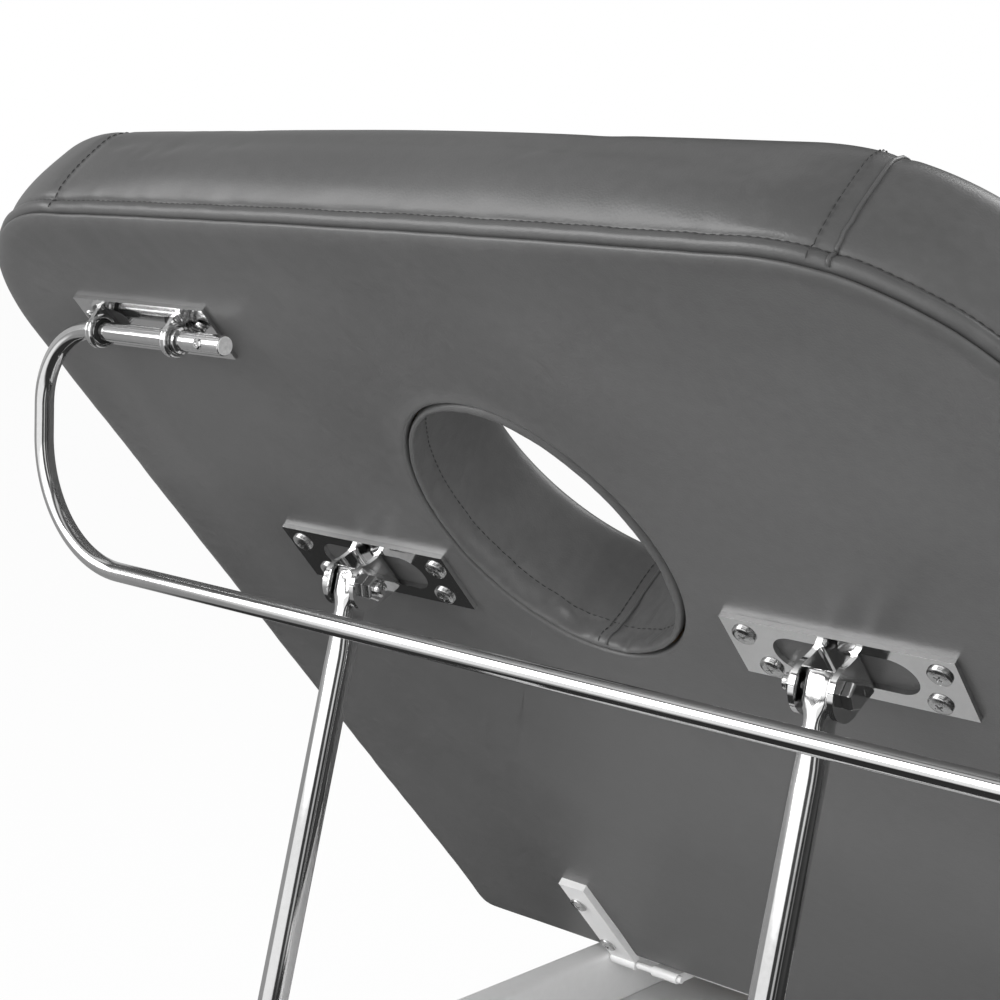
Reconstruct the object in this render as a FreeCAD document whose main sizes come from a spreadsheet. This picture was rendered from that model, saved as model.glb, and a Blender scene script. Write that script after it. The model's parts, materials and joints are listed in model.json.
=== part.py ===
"""Spa bed on a storage cabinet: raised backrest with a face hole, lift rods and a towel bar."""
import FreeCAD
import Part
import Sketcher
import math
import os
import re

doc = FreeCAD.newDocument("spa_bed")

# Driving dimensions, in millimetres and degrees
SIZES = [
    ("cushion_half_width", 304), ("cushion_thick", 74), ("cushion_crown", 5), ("cushion_side_bulge", 3),
    ("cushion_edge_round", 26), ("cushion_crown_run", 80), ("cushion_seam_inset", 3),
    ("cushion_near_corner_radius", 14), ("cushion_far_corner_radius", 104), ("cushion_end_bulge", 2),
    ("back_cover_thick", 1.2), ("board_thick", 12), ("board_inset", 14),
    ("backrest_length", 676), ("recline", 46.7), ("soft_clearance", 0.3),
    ("cushion_gap", 55), ("body_cushion_length", 1144),
    ("face_hole_v", 480), ("face_hole_half_u", 73), ("face_hole_half_v", 91), ("lining_thick", 2.5),
    ("hinge_v", -2), ("hinge_w", 4), ("hinge_below_rail", 3.15), ("hinge_pin_radius", 2.4),
    ("arm_rail_gap", 0.5), ("arm_width", 20.8), ("arm_thick", 5), ("arm_top_v", 92),
    ("arm_screw_v", 69), ("arm_screw_pitch", 50.5), ("arm_screw_from_edge", 6),
    ("lug_inner", 134.3), ("lug_radius", 3.6), ("pin_overhang", 3), ("running_gap", 0.3),
    ("hinge_tube_from_pin", 40), ("hinge_tube_wide", 40), ("hinge_tube_tall", 17), ("hinge_tube_wall", 2),
    ("rail_inner", 190), ("rail_width", 20), ("rail_tall", 40), ("rail_wall", 1.5),
    ("rail_corner_radius", 4),
    ("rail_head_reach", 472), ("rail_foot_inset", 60), ("cap_lip", 3), ("cap_plug", 14),
    ("buffer_radius", 9), ("buffer_tall", 5.6), ("buffer_from_end", 95),
    ("lift_centre_u", 146.5), ("lift_plate_wide", 120), ("lift_plate_tall", 41.3), ("lift_plate_thick", 3),
    ("lift_plate_v", 424.5), ("lift_pin_v", 429.8), ("lift_pin_w", 19.5), ("lift_pin_radius", 4),
    ("ear_gap", 17), ("ear_bend_radius", 2.5), ("ear_tip_radius", 13), ("window_reach", 25.5),
    ("window_half", 12.5), ("window_v", 425.5), ("ear_reach_share", 3),
    ("plate_screw_upper", 50), ("plate_screw_lower", 43.5), ("plate_screw_rise", 10),
    ("plate_screw_drop", 12.4), ("screw_head_radius", 6), ("screw_head_rim", 1.1), ("screw_head_tall", 2.6),
    ("screw_shank_radius", 2.5),
    ("nut_radius", 7), ("nut_thick", 6), ("bolt_head_thick", 5), ("bolt_end", 4), ("bolt_end_taper", 1.5),
    ("rod_lean", 13), ("rod_radius", 8), ("rod_reach", 560), ("rod_eye_flat", 14), ("rod_eye_length", 30),
    ("rod_eye_radius", 9.5),
    ("tube_radius", 11), ("tube_slip", 0.5), ("tube_mouth", 18), ("tube_below", 445), ("tube_floor", 4),
    ("collar_radius", 16), ("collar_half_tall", 12), ("stub_radius", 5), ("cheek_thick", 4),
    ("cheek_gap", 1), ("cheek_radius", 12), ("clevis_base", 4), ("lift_bar_clear", 28),
    ("lift_bar_size", 30), ("hanger_thick", 6), ("hanger_wide", 70),
    ("knob_neck_radius", 3.5), ("knob_neck", 10), ("knob_radius", 13), ("knob_thick", 15),
    ("knob_lobe_radius", 3.5),
    ("towel_axis_v", 602.6), ("towel_axis_w", 11), ("towel_radius", 5), ("towel_side_reach", 268.7),
    ("towel_bend_top_radius", 41.3), ("towel_bend_low_radius", 64), ("towel_drop", 121.8),
    ("towel_tip", 127.3), ("towel_free_end", 300), ("towel_cap_length", 8), ("towel_cap_radius", 6.5),
    ("towel_cap_wall", 1.5),
    ("towel_plate_outer", 241.5), ("towel_plate_inner", 141.5), ("towel_plate_low_v", 583),
    ("towel_plate_high_v", 616), ("towel_plate_thick", 2.5), ("towel_ear_outer", 221.7),
    ("towel_ear_inner", 163.4), ("towel_ear_thick", 2.5), ("towel_ear_bend_radius", 3),
    ("towel_ring_radius", 9), ("towel_foot_low", 592.6), ("towel_foot_high", 612.6),
    ("towel_window_reach", 13), ("towel_window_half", 7), ("towel_screw_outer_inset", 4),
    ("towel_screw_inner_inset", 10), ("towel_screw_v", 604), ("towel_screw_share", 0.5),
    ("collar_ring_radius", 6.8), ("collar_ring_wide", 5), ("collar_ring_gap", 0.5),
    ("collar_ring_clear", 0.1),
    ("bar_pin_radius", 1.8), ("bar_pin_head_radius", 2.8), ("bar_pin_head_thick", 1.6),
    ("bar_pin_from_tip", 14.4),
    ("cabinet_length", 1250), ("cabinet_half_width", 260), ("cabinet_top_z", 583.8), ("panel", 16),
    ("back_panel", 8), ("plinth_tall", 70), ("plinth_recess", 40), ("plinth_board", 18),
    ("bay_half", 200), ("front_gap", 3), ("hinge_from_cabinet_end", 299.6), ("door_air", 4),
    ("pivot_radius", 4), ("pivot_depth", 10), ("pivot_flange_radius", 7), ("door_rise", 2),
    ("shelf_share", 0.5), ("shelf_set_back", 20),
    ("drawer_wall", 12), ("drawer_side_gap", 13), ("drawer_depth", 430), ("drawer_lift", 18),
    ("drawer_tall_share", 0.7), ("runner_tall", 30), ("handle_radius", 5), ("handle_stand_off", 28),
    ("handle_half", 80), ("handle_post_radius", 4), ("handle_post_inset", 12), ("handle_from_top", 60),
    ("door_handle_from_edge", 40), ("support_wide", 40), ("support_tall", 20), ("cut_over", 5),
]
sheet = doc.addObject("Spreadsheet::Sheet", "Sizes")
for row, (alias, number) in enumerate(SIZES, start=1):
    sheet.set("A%d" % row, alias.replace("_", " "))
    sheet.set("B%d" % row, str(number))
    sheet.setAlias("B%d" % row, alias)
doc.recompute()

# Values worked out from the driving dimensions
derived = doc.addObject("App::VarSet", "Derived")
names = {alias: "Sizes." + alias for alias, number in SIZES}


def sized(text):
    """Turns plain value names into references to the sheet or to the worked-out values."""
    return re.sub(r"[a-z_]+", lambda word: names.get(word.group(0), word.group(0)), str(text))


def derive(name, text):
    derived.addProperty("App::PropertyFloat", name)
    derived.setExpression(name, sized(text))
    names[name] = "Derived." + name


def val(text):
    """The number that a sum of named values comes to."""
    return float(sheet.evalExpression(sized(text)))


derive("rail_top", "cabinet_top_z + rail_tall")
derive("hinge_z", "rail_top - hinge_below_rail")
derive("hinge_y", "hinge_from_cabinet_end - cabinet_length / 2")
derive("lift_arm", "sqrt((lift_pin_v - hinge_v)^2 + (lift_pin_w - hinge_w)^2)")
derive("lift_rise", "recline - atan((lift_pin_w - hinge_w) / (lift_pin_v - hinge_v)) / 1 deg")
derive("low_angle", "2 * rod_lean - lift_rise")
derive("low_y", "hinge_y - lift_arm * cos(low_angle * 1 deg)")
derive("low_z", "hinge_z + lift_arm * sin(low_angle * 1 deg)")
derive("high_y", "hinge_y - lift_arm * cos(lift_rise * 1 deg)")
derive("high_z", "hinge_z + lift_arm * sin(lift_rise * 1 deg)")
derive("cab_low_y", "-cabinet_length / 2")
derive("cab_high_y", "cabinet_length / 2")
derive("carcass_front", "cabinet_half_width - panel - door_air")
derive("body_low_y", "hinge_y + cushion_gap")
derive("body_high_y", "body_low_y + body_cushion_length")
derive("bay_low_z", "plinth_tall + panel")
derive("bay_high_z", "cabinet_top_z - panel")
derive("cheek_in", "collar_radius + cheek_gap")
derive("arm_outer", "rail_inner - arm_rail_gap")
derive("ear_far", "ear_gap / 2 + lift_plate_thick")
derive("bar_face_y", "low_y + lift_bar_clear")
doc.recompute()

# Frames that pieces are placed in
ROOT = ""
BACKREST = ("placement(vector(0;hinge_y;hinge_z);rotation(vector(1;0;0);-recline))"
            "*placement(vector(0;hinge_v;hinge_w);rotation(vector(0;0;1);0))")
ROD_HIGH = "placement(vector(0;high_y;high_z);rotation(vector(1;0;0);-rod_lean))"
ROD_LOW = "placement(vector(0;low_y;low_z);rotation(vector(1;0;0);-rod_lean))"
TOWEL = (BACKREST + "*placement(vector(0;-towel_axis_v;-towel_axis_w);rotation(vector(1;0;0);recline))")
TURNS = {"x": "rotation(vector(0;1;0);90)", "y": "rotation(vector(1;0;0);-90)",
         "z": "rotation(vector(0;0;1);0)", "-y": "rotation(vector(1;0;0);90)"}

parts = []


def add(kind, name="piece"):
    return doc.addObject(kind, name)


def move(obj, x, y, z, turn="rotation(vector(0;0;1);0)"):
    obj.setExpression("Placement", sized("placement(vector(%s;%s;%s);%s)" % (x, y, z, turn)))
    return obj


def box(x, y, z):
    """A block between low and high limits along each axis."""
    obj = add("Part::Box", "block")
    for name, (low, high) in (("Length", x), ("Width", y), ("Height", z)):
        obj.setExpression(name, sized("(%s) - (%s)" % (high, low)))
    return move(obj, x[0], y[0], z[0])


def bar(radius, length, x, y, z, along="z"):
    """A round bar of a given length from a start point along one axis."""
    obj = add("Part::Cylinder", "round")
    obj.setExpression("Radius", sized(radius))
    obj.setExpression("Height", sized(length))
    return move(obj, x, y, z, TURNS[along])


def joined(shapes):
    obj = add("Part::MultiFuse", "joined")
    obj.Shapes = shapes
    return obj


def cut(base, *tools):
    obj = add("Part::Cut", "cut")
    obj.Base = base
    obj.Tool = tools[0] if len(tools) == 1 else joined(list(tools))
    return obj


def outline(points, plane="XY"):
    """A closed sketch through corners in named sizes. A corner given a radius and a side is reached by
    a turn of up to a quarter round, to the left for a side of one and to the right for minus one."""
    sketch = add("Sketcher::SketchObject", "outline")
    count = len(points)
    places = [FreeCAD.Vector(val(point[0]), val(point[1]), 0) for point in points]
    heads = []
    for i in range(count):
        start, end, last = places[i], places[(i + 1) % count], points[(i + 1) % count]
        heads.append((1, 2))
        if len(last) == 2:
            sketch.addGeometry(Part.LineSegment(start, end))
            continue
        radius, side = val(last[2]), last[3]
        half = (end - start) / 2
        rise = math.sqrt(max(0, radius ** 2 - half.Length ** 2)) / half.Length
        centre = start + half + FreeCAD.Vector(-half.y, half.x, 0) * side * rise
        ends = (start, end)
        if side < 0:
            ends = (end, start)
            heads[i] = (2, 1)
        angles = [math.atan2(place.y - centre.y, place.x - centre.x) for place in ends]
        sketch.addGeometry(Part.ArcOfCircle(Part.Circle(centre, FreeCAD.Vector(0, 0, 1), radius), *angles))
    for i in range(count):
        after = (i + 1) % count
        sketch.addConstraint(Sketcher.Constraint("Coincident", i, heads[i][1], after, heads[after][0]))
    for i, point in enumerate(points):
        for kind, text in (("DistanceX", point[0]), ("DistanceY", point[1])):
            index = sketch.addConstraint(Sketcher.Constraint(kind, -1, 1, i, heads[i][0], val(text)))
            sketch.setExpression("Constraints[%d]" % index, sized(text))
        if len(point) > 2:
            index = sketch.addConstraint(Sketcher.Constraint("Radius", (i - 1) % count, val(point[2])))
            sketch.setExpression("Constraints[%d]" % index, sized(point[2]))
    turns = {"XY": "rotation(vector(0;0;1);0)", "YZ": "rotation(vector(1;1;1);120)",
             "XZ": "rotation(vector(1;0;0);90)"}
    return move(sketch, 0, 0, 0, turns[plane])


def rounded(a, b, radius):
    """The corners of a rectangle between limits, each rounded."""
    (a_low, a_high), (b_low, b_high) = a, b
    a_in, a_out = shrink(a, radius)
    b_in, b_out = shrink(b, radius)
    return [(a_in, b_low, radius, 1), (a_out, b_low), (a_high, b_in, radius, 1), (a_high, b_out),
            (a_out, b_high, radius, 1), (a_in, b_high), (a_low, b_out, radius, 1), (a_low, b_in)]


def shrink(limits, by):
    return ("%s + %s" % (limits[0], by), "%s - %s" % (limits[1], by))


def pushed(sketch, direction, length, start=None):
    """A straight push of a sketch along a direction."""
    obj = add("Part::Extrusion", "pushed")
    obj.Base = sketch
    obj.DirMode = "Custom"
    obj.Dir = FreeCAD.Vector(*direction)
    obj.Solid = True
    obj.setExpression("LengthFwd", sized(length))
    if start:
        move(obj, *start)
    return obj


def mirrored(obj):
    """The same shape on the other side of the middle plane."""
    other = add("Part::Mirroring", "mirrored")
    other.Source = obj
    other.Normal = FreeCAD.Vector(1, 0, 0)
    return other


def node(label, obj, frame=ROOT):
    """Names one finished piece, placed in its frame; a list makes a group of like solids."""
    shapes = obj if isinstance(obj, list) else [obj]
    holder = add("Part::Compound", label)
    holder.Links = shapes
    if frame:
        holder.setExpression("Placement", sized(frame))
    holder.Label = label
    parts.append(holder)
    return holder


def pair(label, obj, frame=ROOT):
    """A left and a right piece, mirror images of each other."""
    node(label + "_right", obj, frame)
    node(label + "_left", mirrored(obj), frame)


# Upholstered cushions

# The least corner radius of a drawn-in outline, as a share of that corner
CORNER_FLOOR_SHARE = 0.3
BOXING_STEPS = 5
EDGE_STEPS = 4
CROWN_STEPS = 3


def round_outline(inset, length, toward, z):
    """The outline seen from above: straight sides, small corners near, large corners and a bow far."""
    half = val("cushion_half_width") - inset
    near = toward * inset
    far = toward * (length - inset)
    near_full, far_full = val("cushion_near_corner_radius"), val("cushion_far_corner_radius")
    small = max(near_full - inset, near_full * CORNER_FLOOR_SHARE)
    big = max(far_full - inset, far_full * CORNER_FLOOR_SHARE)
    edges = []

    def corner(x_side, y_end, radius, away):
        """One rounded corner, given as start, middle and end points from the side to the end."""
        centre = FreeCAD.Vector(x_side * (half - radius), y_end - away * radius, z)
        side = centre + FreeCAD.Vector(x_side * radius, 0, 0)
        end = centre + FreeCAD.Vector(0, away * radius, 0)
        diagonal = radius / math.sqrt(2)
        return side, centre + FreeCAD.Vector(x_side * diagonal, away * diagonal, 0), end

    right_far = corner(1, far, big, toward)
    left_far = corner(-1, far, big, toward)
    right_near = corner(1, near, small, -toward)
    left_near = corner(-1, near, small, -toward)
    bow = FreeCAD.Vector(0, far + toward * val("cushion_end_bulge"), z)
    edges.append(Part.LineSegment(right_near[0], right_far[0]))
    edges.append(Part.Arc(*right_far))
    edges.append(Part.Arc(right_far[2], bow, left_far[2]))
    edges.append(Part.Arc(left_far[2], left_far[1], left_far[0]))
    edges.append(Part.LineSegment(left_far[0], left_near[0]))
    edges.append(Part.Arc(*left_near))
    edges.append(Part.LineSegment(left_near[2], right_near[2]))
    edges.append(Part.Arc(right_near[2], right_near[1], right_near[0]))
    return Part.Wire([edge.toShape() for edge in edges])


def slab(length, toward, inset, low, high):
    """A flat sheet or board with the cushion's outline."""
    face = Part.Face(round_outline(inset, length, toward, low))
    obj = add("Part::Feature", "slab")
    obj.Shape = face.extrude(FreeCAD.Vector(0, 0, high - low))
    return obj


def padded_levels(low):
    """Height and inset of each outline: the boxing bulges, the edge rolls over and the top crowns."""
    roll, crown = val("cushion_edge_round"), val("cushion_crown")
    boxing_top = val("cushion_thick") - roll
    levels = []
    for i in range(BOXING_STEPS):
        share = i / BOXING_STEPS
        swell = math.sin(math.pi * share)
        inset = val("cushion_seam_inset") * (1 - share) ** 2 - val("cushion_side_bulge") * swell
        levels.append((low + share * (boxing_top - low), inset))
    for i in range(EDGE_STEPS + 1):
        angle = math.pi / 2 * i / EDGE_STEPS
        levels.append((boxing_top + roll * math.sin(angle), roll * (1 - math.cos(angle))))
    for i in range(1, CROWN_STEPS + 1):
        share = i / CROWN_STEPS
        levels.append((val("cushion_thick") + crown * math.sin(math.pi / 2 * share),
                       roll + share * val("cushion_crown_run")))
    return levels


def padded(length, toward, low):
    """The padded body, a skin of straight strips between its outlines."""
    wires = [round_outline(inset, length, toward, z) for z, inset in padded_levels(low)]
    obj = add("Part::Feature", "padded")
    obj.Shape = Part.makeLoft(wires, True, True)
    return obj


def oval(grow, low, high):
    """An upright elliptical plug at the face hole."""
    across = val("face_hole_half_u") + grow
    along = val("face_hole_half_v") + grow
    centre = FreeCAD.Vector(0, -val("face_hole_v"), low)
    curve = Part.Ellipse(centre, max(across, along), min(across, along))
    edge = curve.toShape()
    if along > across:
        edge.rotate(centre, FreeCAD.Vector(0, 0, 1), 90)
    obj = add("Part::Feature", "oval")
    obj.Shape = Part.Face(Part.Wire([edge])).extrude(FreeCAD.Vector(0, 0, high - low))
    return obj


def backrest_upholstery():
    cover = val("back_cover_thick")
    board_top = cover + val("board_thick")
    top = val("cushion_thick") + val("cushion_crown") + val("cut_over")
    slack = val("soft_clearance")
    length = val("backrest_length")
    inset = val("cushion_seam_inset")
    hole = oval(slack, -val("cut_over"), top)
    sheet_cover = slab(length, -1, inset, 0, cover)
    board = slab(length, -1, val("board_inset"), cover, board_top)
    foam = padded(length, -1, cover)
    node("backrest_back_cover", cut(sheet_cover, hole), BACKREST)
    node("backrest_board", cut(board, hole), BACKREST)
    node("backrest_cushion", cut(foam, board, hole), BACKREST)
    lining = cut(oval(0, 0, val("cushion_thick")), oval(-val("lining_thick"), -val("cut_over"), top))
    node("face_hole_lining", lining, BACKREST)


def body_upholstery():
    frame = "placement(vector(0;body_low_y;rail_top);rotation(vector(0;0;1);0))"
    length = val("body_cushion_length")
    board = slab(length, 1, val("board_inset"), 0, val("board_thick"))
    foam = padded(length, 1, 0)
    node("body_board", board, frame)
    node("body_cushion", cut(foam, board), frame)


# Backrest hinge

SCREW_TOP_SHARE = 0.62


def screw(x, v, seat, share="1"):
    """A pan-head screw whose head sits proud of the backrest's back by the seat height."""
    across, rim, tall = ["%s * %s" % (name, share) for name in
                         ("screw_head_radius", "screw_head_rim", "screw_head_tall")]
    edge = bar(across, rim, x, "-(%s)" % v, "-(%s) - %s" % (seat, rim))
    crown = add("Part::Cone", "crown")
    crown.setExpression("Radius1", sized("%s * %s" % (across, SCREW_TOP_SHARE)))
    crown.setExpression("Radius2", sized(across))
    crown.setExpression("Height", sized("%s - %s" % (tall, rim)))
    move(crown, x, "-(%s)" % v, "-(%s) - %s" % (seat, tall))
    shank = bar("screw_shank_radius * %s" % share, seat, x, "-(%s)" % v, "-(%s)" % seat)
    return joined([edge, crown, shank])


def screw_hole(x, v, seat, share="1"):
    return bar("screw_shank_radius * %s" % share, "%s + 2 * cut_over" % seat, x, "-(%s)" % v,
               "-(%s) - cut_over" % seat)


ARM_SCREWS = [("arm_outer - arm_screw_from_edge", "arm_screw_v", "arm_thick"),
              ("arm_outer - arm_screw_from_edge", "arm_screw_v - arm_screw_pitch", "arm_thick")]


def hinge_arms():
    """A flat strap that ends in an eye, which lies tangent to the backrest's back."""
    inner = "arm_outer - arm_width"
    strap = box((inner, "arm_outer"), ("-arm_top_v", "-hinge_v"), ("-arm_thick", "0"))
    eye = bar("hinge_w", "arm_width", inner, "-hinge_v", "-hinge_w", "x")
    bore = bar("hinge_pin_radius + running_gap", "arm_width + 2 * cut_over", inner + " - cut_over",
               "-hinge_v", "-hinge_w", "x")
    arm = cut(joined([strap, eye]), bore, *[screw_hole(*place) for place in ARM_SCREWS])
    pair("hinge_arm", arm, BACKREST)


def hinge_lugs():
    """Straps from a cross tube to an eye at the pin, and the pin, which the rail also holds."""
    tube_y = ("hinge_y + hinge_tube_from_pin", "hinge_y + hinge_tube_from_pin + hinge_tube_wide")
    tube_z = ("rail_top - hinge_tube_tall", "rail_top")
    tube_x = ("-rail_inner", "rail_inner")
    hollow = box(tube_x, shrink(tube_y, "hinge_tube_wall"), shrink(tube_z, "hinge_tube_wall"))
    tube = cut(box(tube_x, tube_y, tube_z), hollow)
    strap = box(("lug_inner", "lug_inner + arm_width"), ("hinge_y", tube_y[0]),
                ("hinge_z - lug_radius", "rail_top"))
    eye = bar("lug_radius", "arm_width", "lug_inner", "hinge_y", "hinge_z", "x")
    pin_start = "lug_inner - pin_overhang"
    pin = bar("hinge_pin_radius", "rail_inner - (%s)" % pin_start, pin_start, "hinge_y", "hinge_z", "x")
    side = cut(joined([strap, eye]), pin)
    node("hinge_cross_tube", joined([tube, side, mirrored(side)]))
    node("hinge_pins", [pin, mirrored(pin)])


# Rails and what stands on them

RAIL_HEAD = "hinge_y - rail_head_reach"
RAIL_FOOT = "body_high_y - rail_foot_inset"
RAIL_X = ("rail_inner", "rail_inner + rail_width")
RAIL_Z = ("rail_top - rail_tall", "rail_top")


def rail_length(start, stop, inset=""):
    """A length of bar with the rail's rounded section, or with that of the rail's bore."""
    x, z, radius = RAIL_X, RAIL_Z, "rail_corner_radius"
    if inset:
        x, z, radius = shrink(x, inset), shrink(z, inset), "(rail_corner_radius - %s)" % inset
    return pushed(outline(rounded(x, z, radius), "XZ"), (0, 1, 0), "%s - (%s)" % (stop, start),
                  ("0", start, "0"))


def rails():
    bore = rail_length(RAIL_HEAD + " - cut_over", RAIL_FOOT + " + cut_over", "rail_wall")
    pair("rail", cut(rail_length(RAIL_HEAD, RAIL_FOOT), bore))
    caps = []
    for lip, plug in (((RAIL_HEAD + " - cap_lip", RAIL_HEAD), (RAIL_HEAD, RAIL_HEAD + " + cap_plug")),
                      ((RAIL_FOOT, RAIL_FOOT + " + cap_lip"), (RAIL_FOOT + " - cap_plug", RAIL_FOOT))):
        cap = joined([rail_length(*lip), rail_length(*plug, "rail_wall")])
        caps += [cap, mirrored(cap)]
    node("rail_end_caps", caps)
    buffer = bar("buffer_radius", "buffer_tall", "rail_inner + rail_width / 2",
                 RAIL_HEAD + " + buffer_from_end", "rail_top")
    node("rail_buffers", [buffer, mirrored(buffer)])


SUPPORT_SHARES = (0.08, 0.5, 0.92)


def support_bars():
    bars = []
    for share in SUPPORT_SHARES:
        middle = "body_low_y + %s * body_cushion_length" % share
        bars.append(box(("-rail_inner", "rail_inner"),
                        (middle + " - support_wide / 2", middle + " + support_wide / 2"),
                        ("rail_top - support_tall", "rail_top")))
    node("body_support_bars", bars)


# Lift brackets on the backrest

def ear(face, side, thick, bend, foot, axis, tip_radius):
    """A strap bent out of a plate: its hollow face, the side that it stands on, its foot and its eye."""
    def at(text):
        return "%s + %d * (%s)" % (face, side, text)

    bend_z = "-%s - %s" % (thick, bend)
    end_z = "-%s - %s" % (axis[1], tip_radius)
    strip = pushed(outline([(at("0"), end_z), (at(thick), end_z), (at(thick), bend_z),
                            (at("-" + bend), "0", "(%s + %s)" % (bend, thick), side),
                            (at("-" + bend), "-" + thick), (at("0"), bend_z, bend, -side)], "XZ"),
                   (0, 1, 0), "2 * ear_reach_share * %s" % tip_radius,
                   ("0", "-%s - ear_reach_share * %s" % (axis[0], tip_radius), "0"))
    wide = "(%s + %s)" % (thick, bend)
    flank = outline([("-" + foot[1], "0"), ("-" + foot[1], bend_z),
                     ("-%s - %s" % (axis[0], tip_radius), "-" + axis[1]),
                     ("-%s + %s" % (axis[0], tip_radius), "-" + axis[1]),
                     ("-" + foot[0], bend_z), ("-" + foot[0], "0")], "YZ")
    start = "%s - %s" % (face, wide)
    flank = pushed(flank, (1, 0, 0), "2 * " + wide, (start, "0", "0"))
    eye = bar(tip_radius, "2 * " + wide, start, "-" + axis[0], "-" + axis[1], "x")
    bent = add("Part::MultiCommon", "ear")
    bent.Shapes = [strip, joined([flank, eye])]
    return bent


def window(start, side, reach, half, v, thick):
    """A slot through a plate from a straight edge to a round end."""
    middle = "%s + %d * (%s - %s)" % (start, side, reach, half)
    ends = (start, middle) if side > 0 else (middle, start)
    low = "-%s - cut_over" % thick
    return joined([box(ends, ("-%s - %s" % (v, half), "-%s + %s" % (v, half)), (low, "cut_over")),
                   bar(half, "%s + 2 * cut_over" % thick, middle, "-" + v, low)])


def lift_brackets():
    """A plate with two windows, whose cut-out tongues are bent up into the ears that hold the rod."""
    left, right = "lift_centre_u - lift_plate_wide / 2", "lift_centre_u + lift_plate_wide / 2"
    low, high = "-lift_plate_v - lift_plate_tall / 2", "-lift_plate_v + lift_plate_tall / 2"
    plate = box((left, right), (low, high), ("-lift_plate_thick", "0"))
    foot = ("(window_v - window_half)", "(window_v + window_half)")
    windows, ears = [], []
    for side in (1, -1):
        windows.append(window("lift_centre_u + %d * (ear_gap / 2 - ear_bend_radius)" % side, side,
                              "(lift_plate_thick + ear_bend_radius + window_reach)", "window_half",
                              "window_v", "lift_plate_thick"))
        ears.append(ear("lift_centre_u + %d * ear_gap / 2" % side, side, "lift_plate_thick",
                        "ear_bend_radius", foot, ("lift_pin_v", "lift_pin_w"), "ear_tip_radius"))
    bore = bar("lift_pin_radius", "2 * ear_far + 2 * cut_over", "lift_centre_u - ear_far - cut_over",
               "-lift_pin_v", "-lift_pin_w", "x")
    holes = [screw_hole(*place) for place in PLATE_SCREWS]
    pair("lift_bracket", cut(joined([cut(plate, *windows)] + ears), bore, *holes), BACKREST)


PLATE_SCREWS = []
for side in (1, -1):
    PLATE_SCREWS.append(("lift_centre_u + %d * plate_screw_upper" % side,
                         "lift_plate_v + plate_screw_rise", "lift_plate_thick"))
    PLATE_SCREWS.append(("lift_centre_u + %d * plate_screw_lower" % side,
                         "lift_plate_v - plate_screw_drop", "lift_plate_thick"))


def hexagon(radius, thick, x, y, z):
    obj = add("Part::Prism", "hexagon")
    obj.Polygon = 6
    obj.setExpression("Circumradius", sized(radius))
    obj.setExpression("Height", sized(thick))
    return move(obj, x, y, z, TURNS["x"])


def lift_bolts():
    bolts = []
    for side in (1, -1):
        start = "%d * lift_centre_u - ear_far" % side
        end = "%d * lift_centre_u + ear_far + nut_thick" % side
        place = ("-lift_pin_v", "-lift_pin_w")
        head = hexagon("nut_radius", "bolt_head_thick", start + " - bolt_head_thick", *place)
        nut = hexagon("nut_radius", "nut_thick", end + " - nut_thick", *place)
        full = "2 * ear_far + nut_thick + bolt_end - bolt_end_taper"
        shank = bar("lift_pin_radius", full, start, *place, "x")
        taper = add("Part::Cone", "taper")
        taper.setExpression("Radius1", sized("lift_pin_radius"))
        taper.setExpression("Radius2", sized("lift_pin_radius - bolt_end_taper"))
        taper.setExpression("Height", sized("bolt_end_taper"))
        move(taper, end + " + bolt_end - bolt_end_taper", *place, TURNS["x"])
        bolts.append(joined([head, shank, nut, taper]))
    node("lift_bolts", bolts, BACKREST)


# Lift rods and the tubes that they slide in

def lift_rods():
    shaft = bar("rod_radius", "rod_reach - rod_eye_length", "lift_centre_u", "0", "-rod_reach")
    eye_start = "lift_centre_u - rod_eye_flat / 2"
    ring = bar("rod_eye_radius", "rod_eye_flat", eye_start, "0", "0", "x")
    neck = box((eye_start, "lift_centre_u + rod_eye_flat / 2"), ("-rod_radius", "rod_radius"),
               ("-rod_eye_length", "0"))
    bore = bar("lift_pin_radius + running_gap", "rod_eye_flat + 2 * cut_over", eye_start + " - cut_over",
               "0", "0", "x")
    pair("lift_rod", cut(joined([shaft, ring, neck]), bore), ROD_HIGH)


def lift_tubes():
    outer = bar("tube_radius", "tube_below + tube_mouth", "lift_centre_u", "0", "-tube_below")
    inner = bar("rod_radius + tube_slip", "tube_below + tube_mouth", "lift_centre_u", "0",
                "-tube_below + tube_floor")
    pair("lift_tube", cut(outer, inner), ROD_LOW)
    ring = bar("collar_radius", "2 * collar_half_tall", "lift_centre_u", "0", "-collar_half_tall")
    reach = "cheek_in + cheek_thick + pin_overhang"
    stubs = bar("stub_radius", "2 * (%s)" % reach, "lift_centre_u - (%s)" % reach, "0", "0", "x")
    hollow = bar("tube_radius", "2 * collar_half_tall + 2 * cut_over", "lift_centre_u", "0",
                 "-collar_half_tall - cut_over")
    pair("lift_collar", cut(joined([ring, stubs]), hollow), ROD_LOW)


KNOB_LOBES = 6


def lock_knobs():
    neck_start = "collar_radius + running_gap"
    neck = bar("knob_neck_radius", "knob_neck", "lift_centre_u", "-(%s)" % neck_start, "0", "-y")
    hub_start = "-(%s) - knob_neck" % neck_start
    pieces = [neck, bar("knob_radius", "knob_thick", "lift_centre_u", hub_start, "0", "-y")]
    for i in range(KNOB_LOBES):
        turn = "%d * 360 / %d * 1 deg" % (i, KNOB_LOBES)
        pieces.append(bar("knob_lobe_radius", "knob_thick", "lift_centre_u + knob_radius * cos(%s)" % turn,
                          hub_start, "knob_radius * sin(%s)" % turn, "-y"))
    pair("lock_knob", joined(pieces), ROD_LOW)


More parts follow.
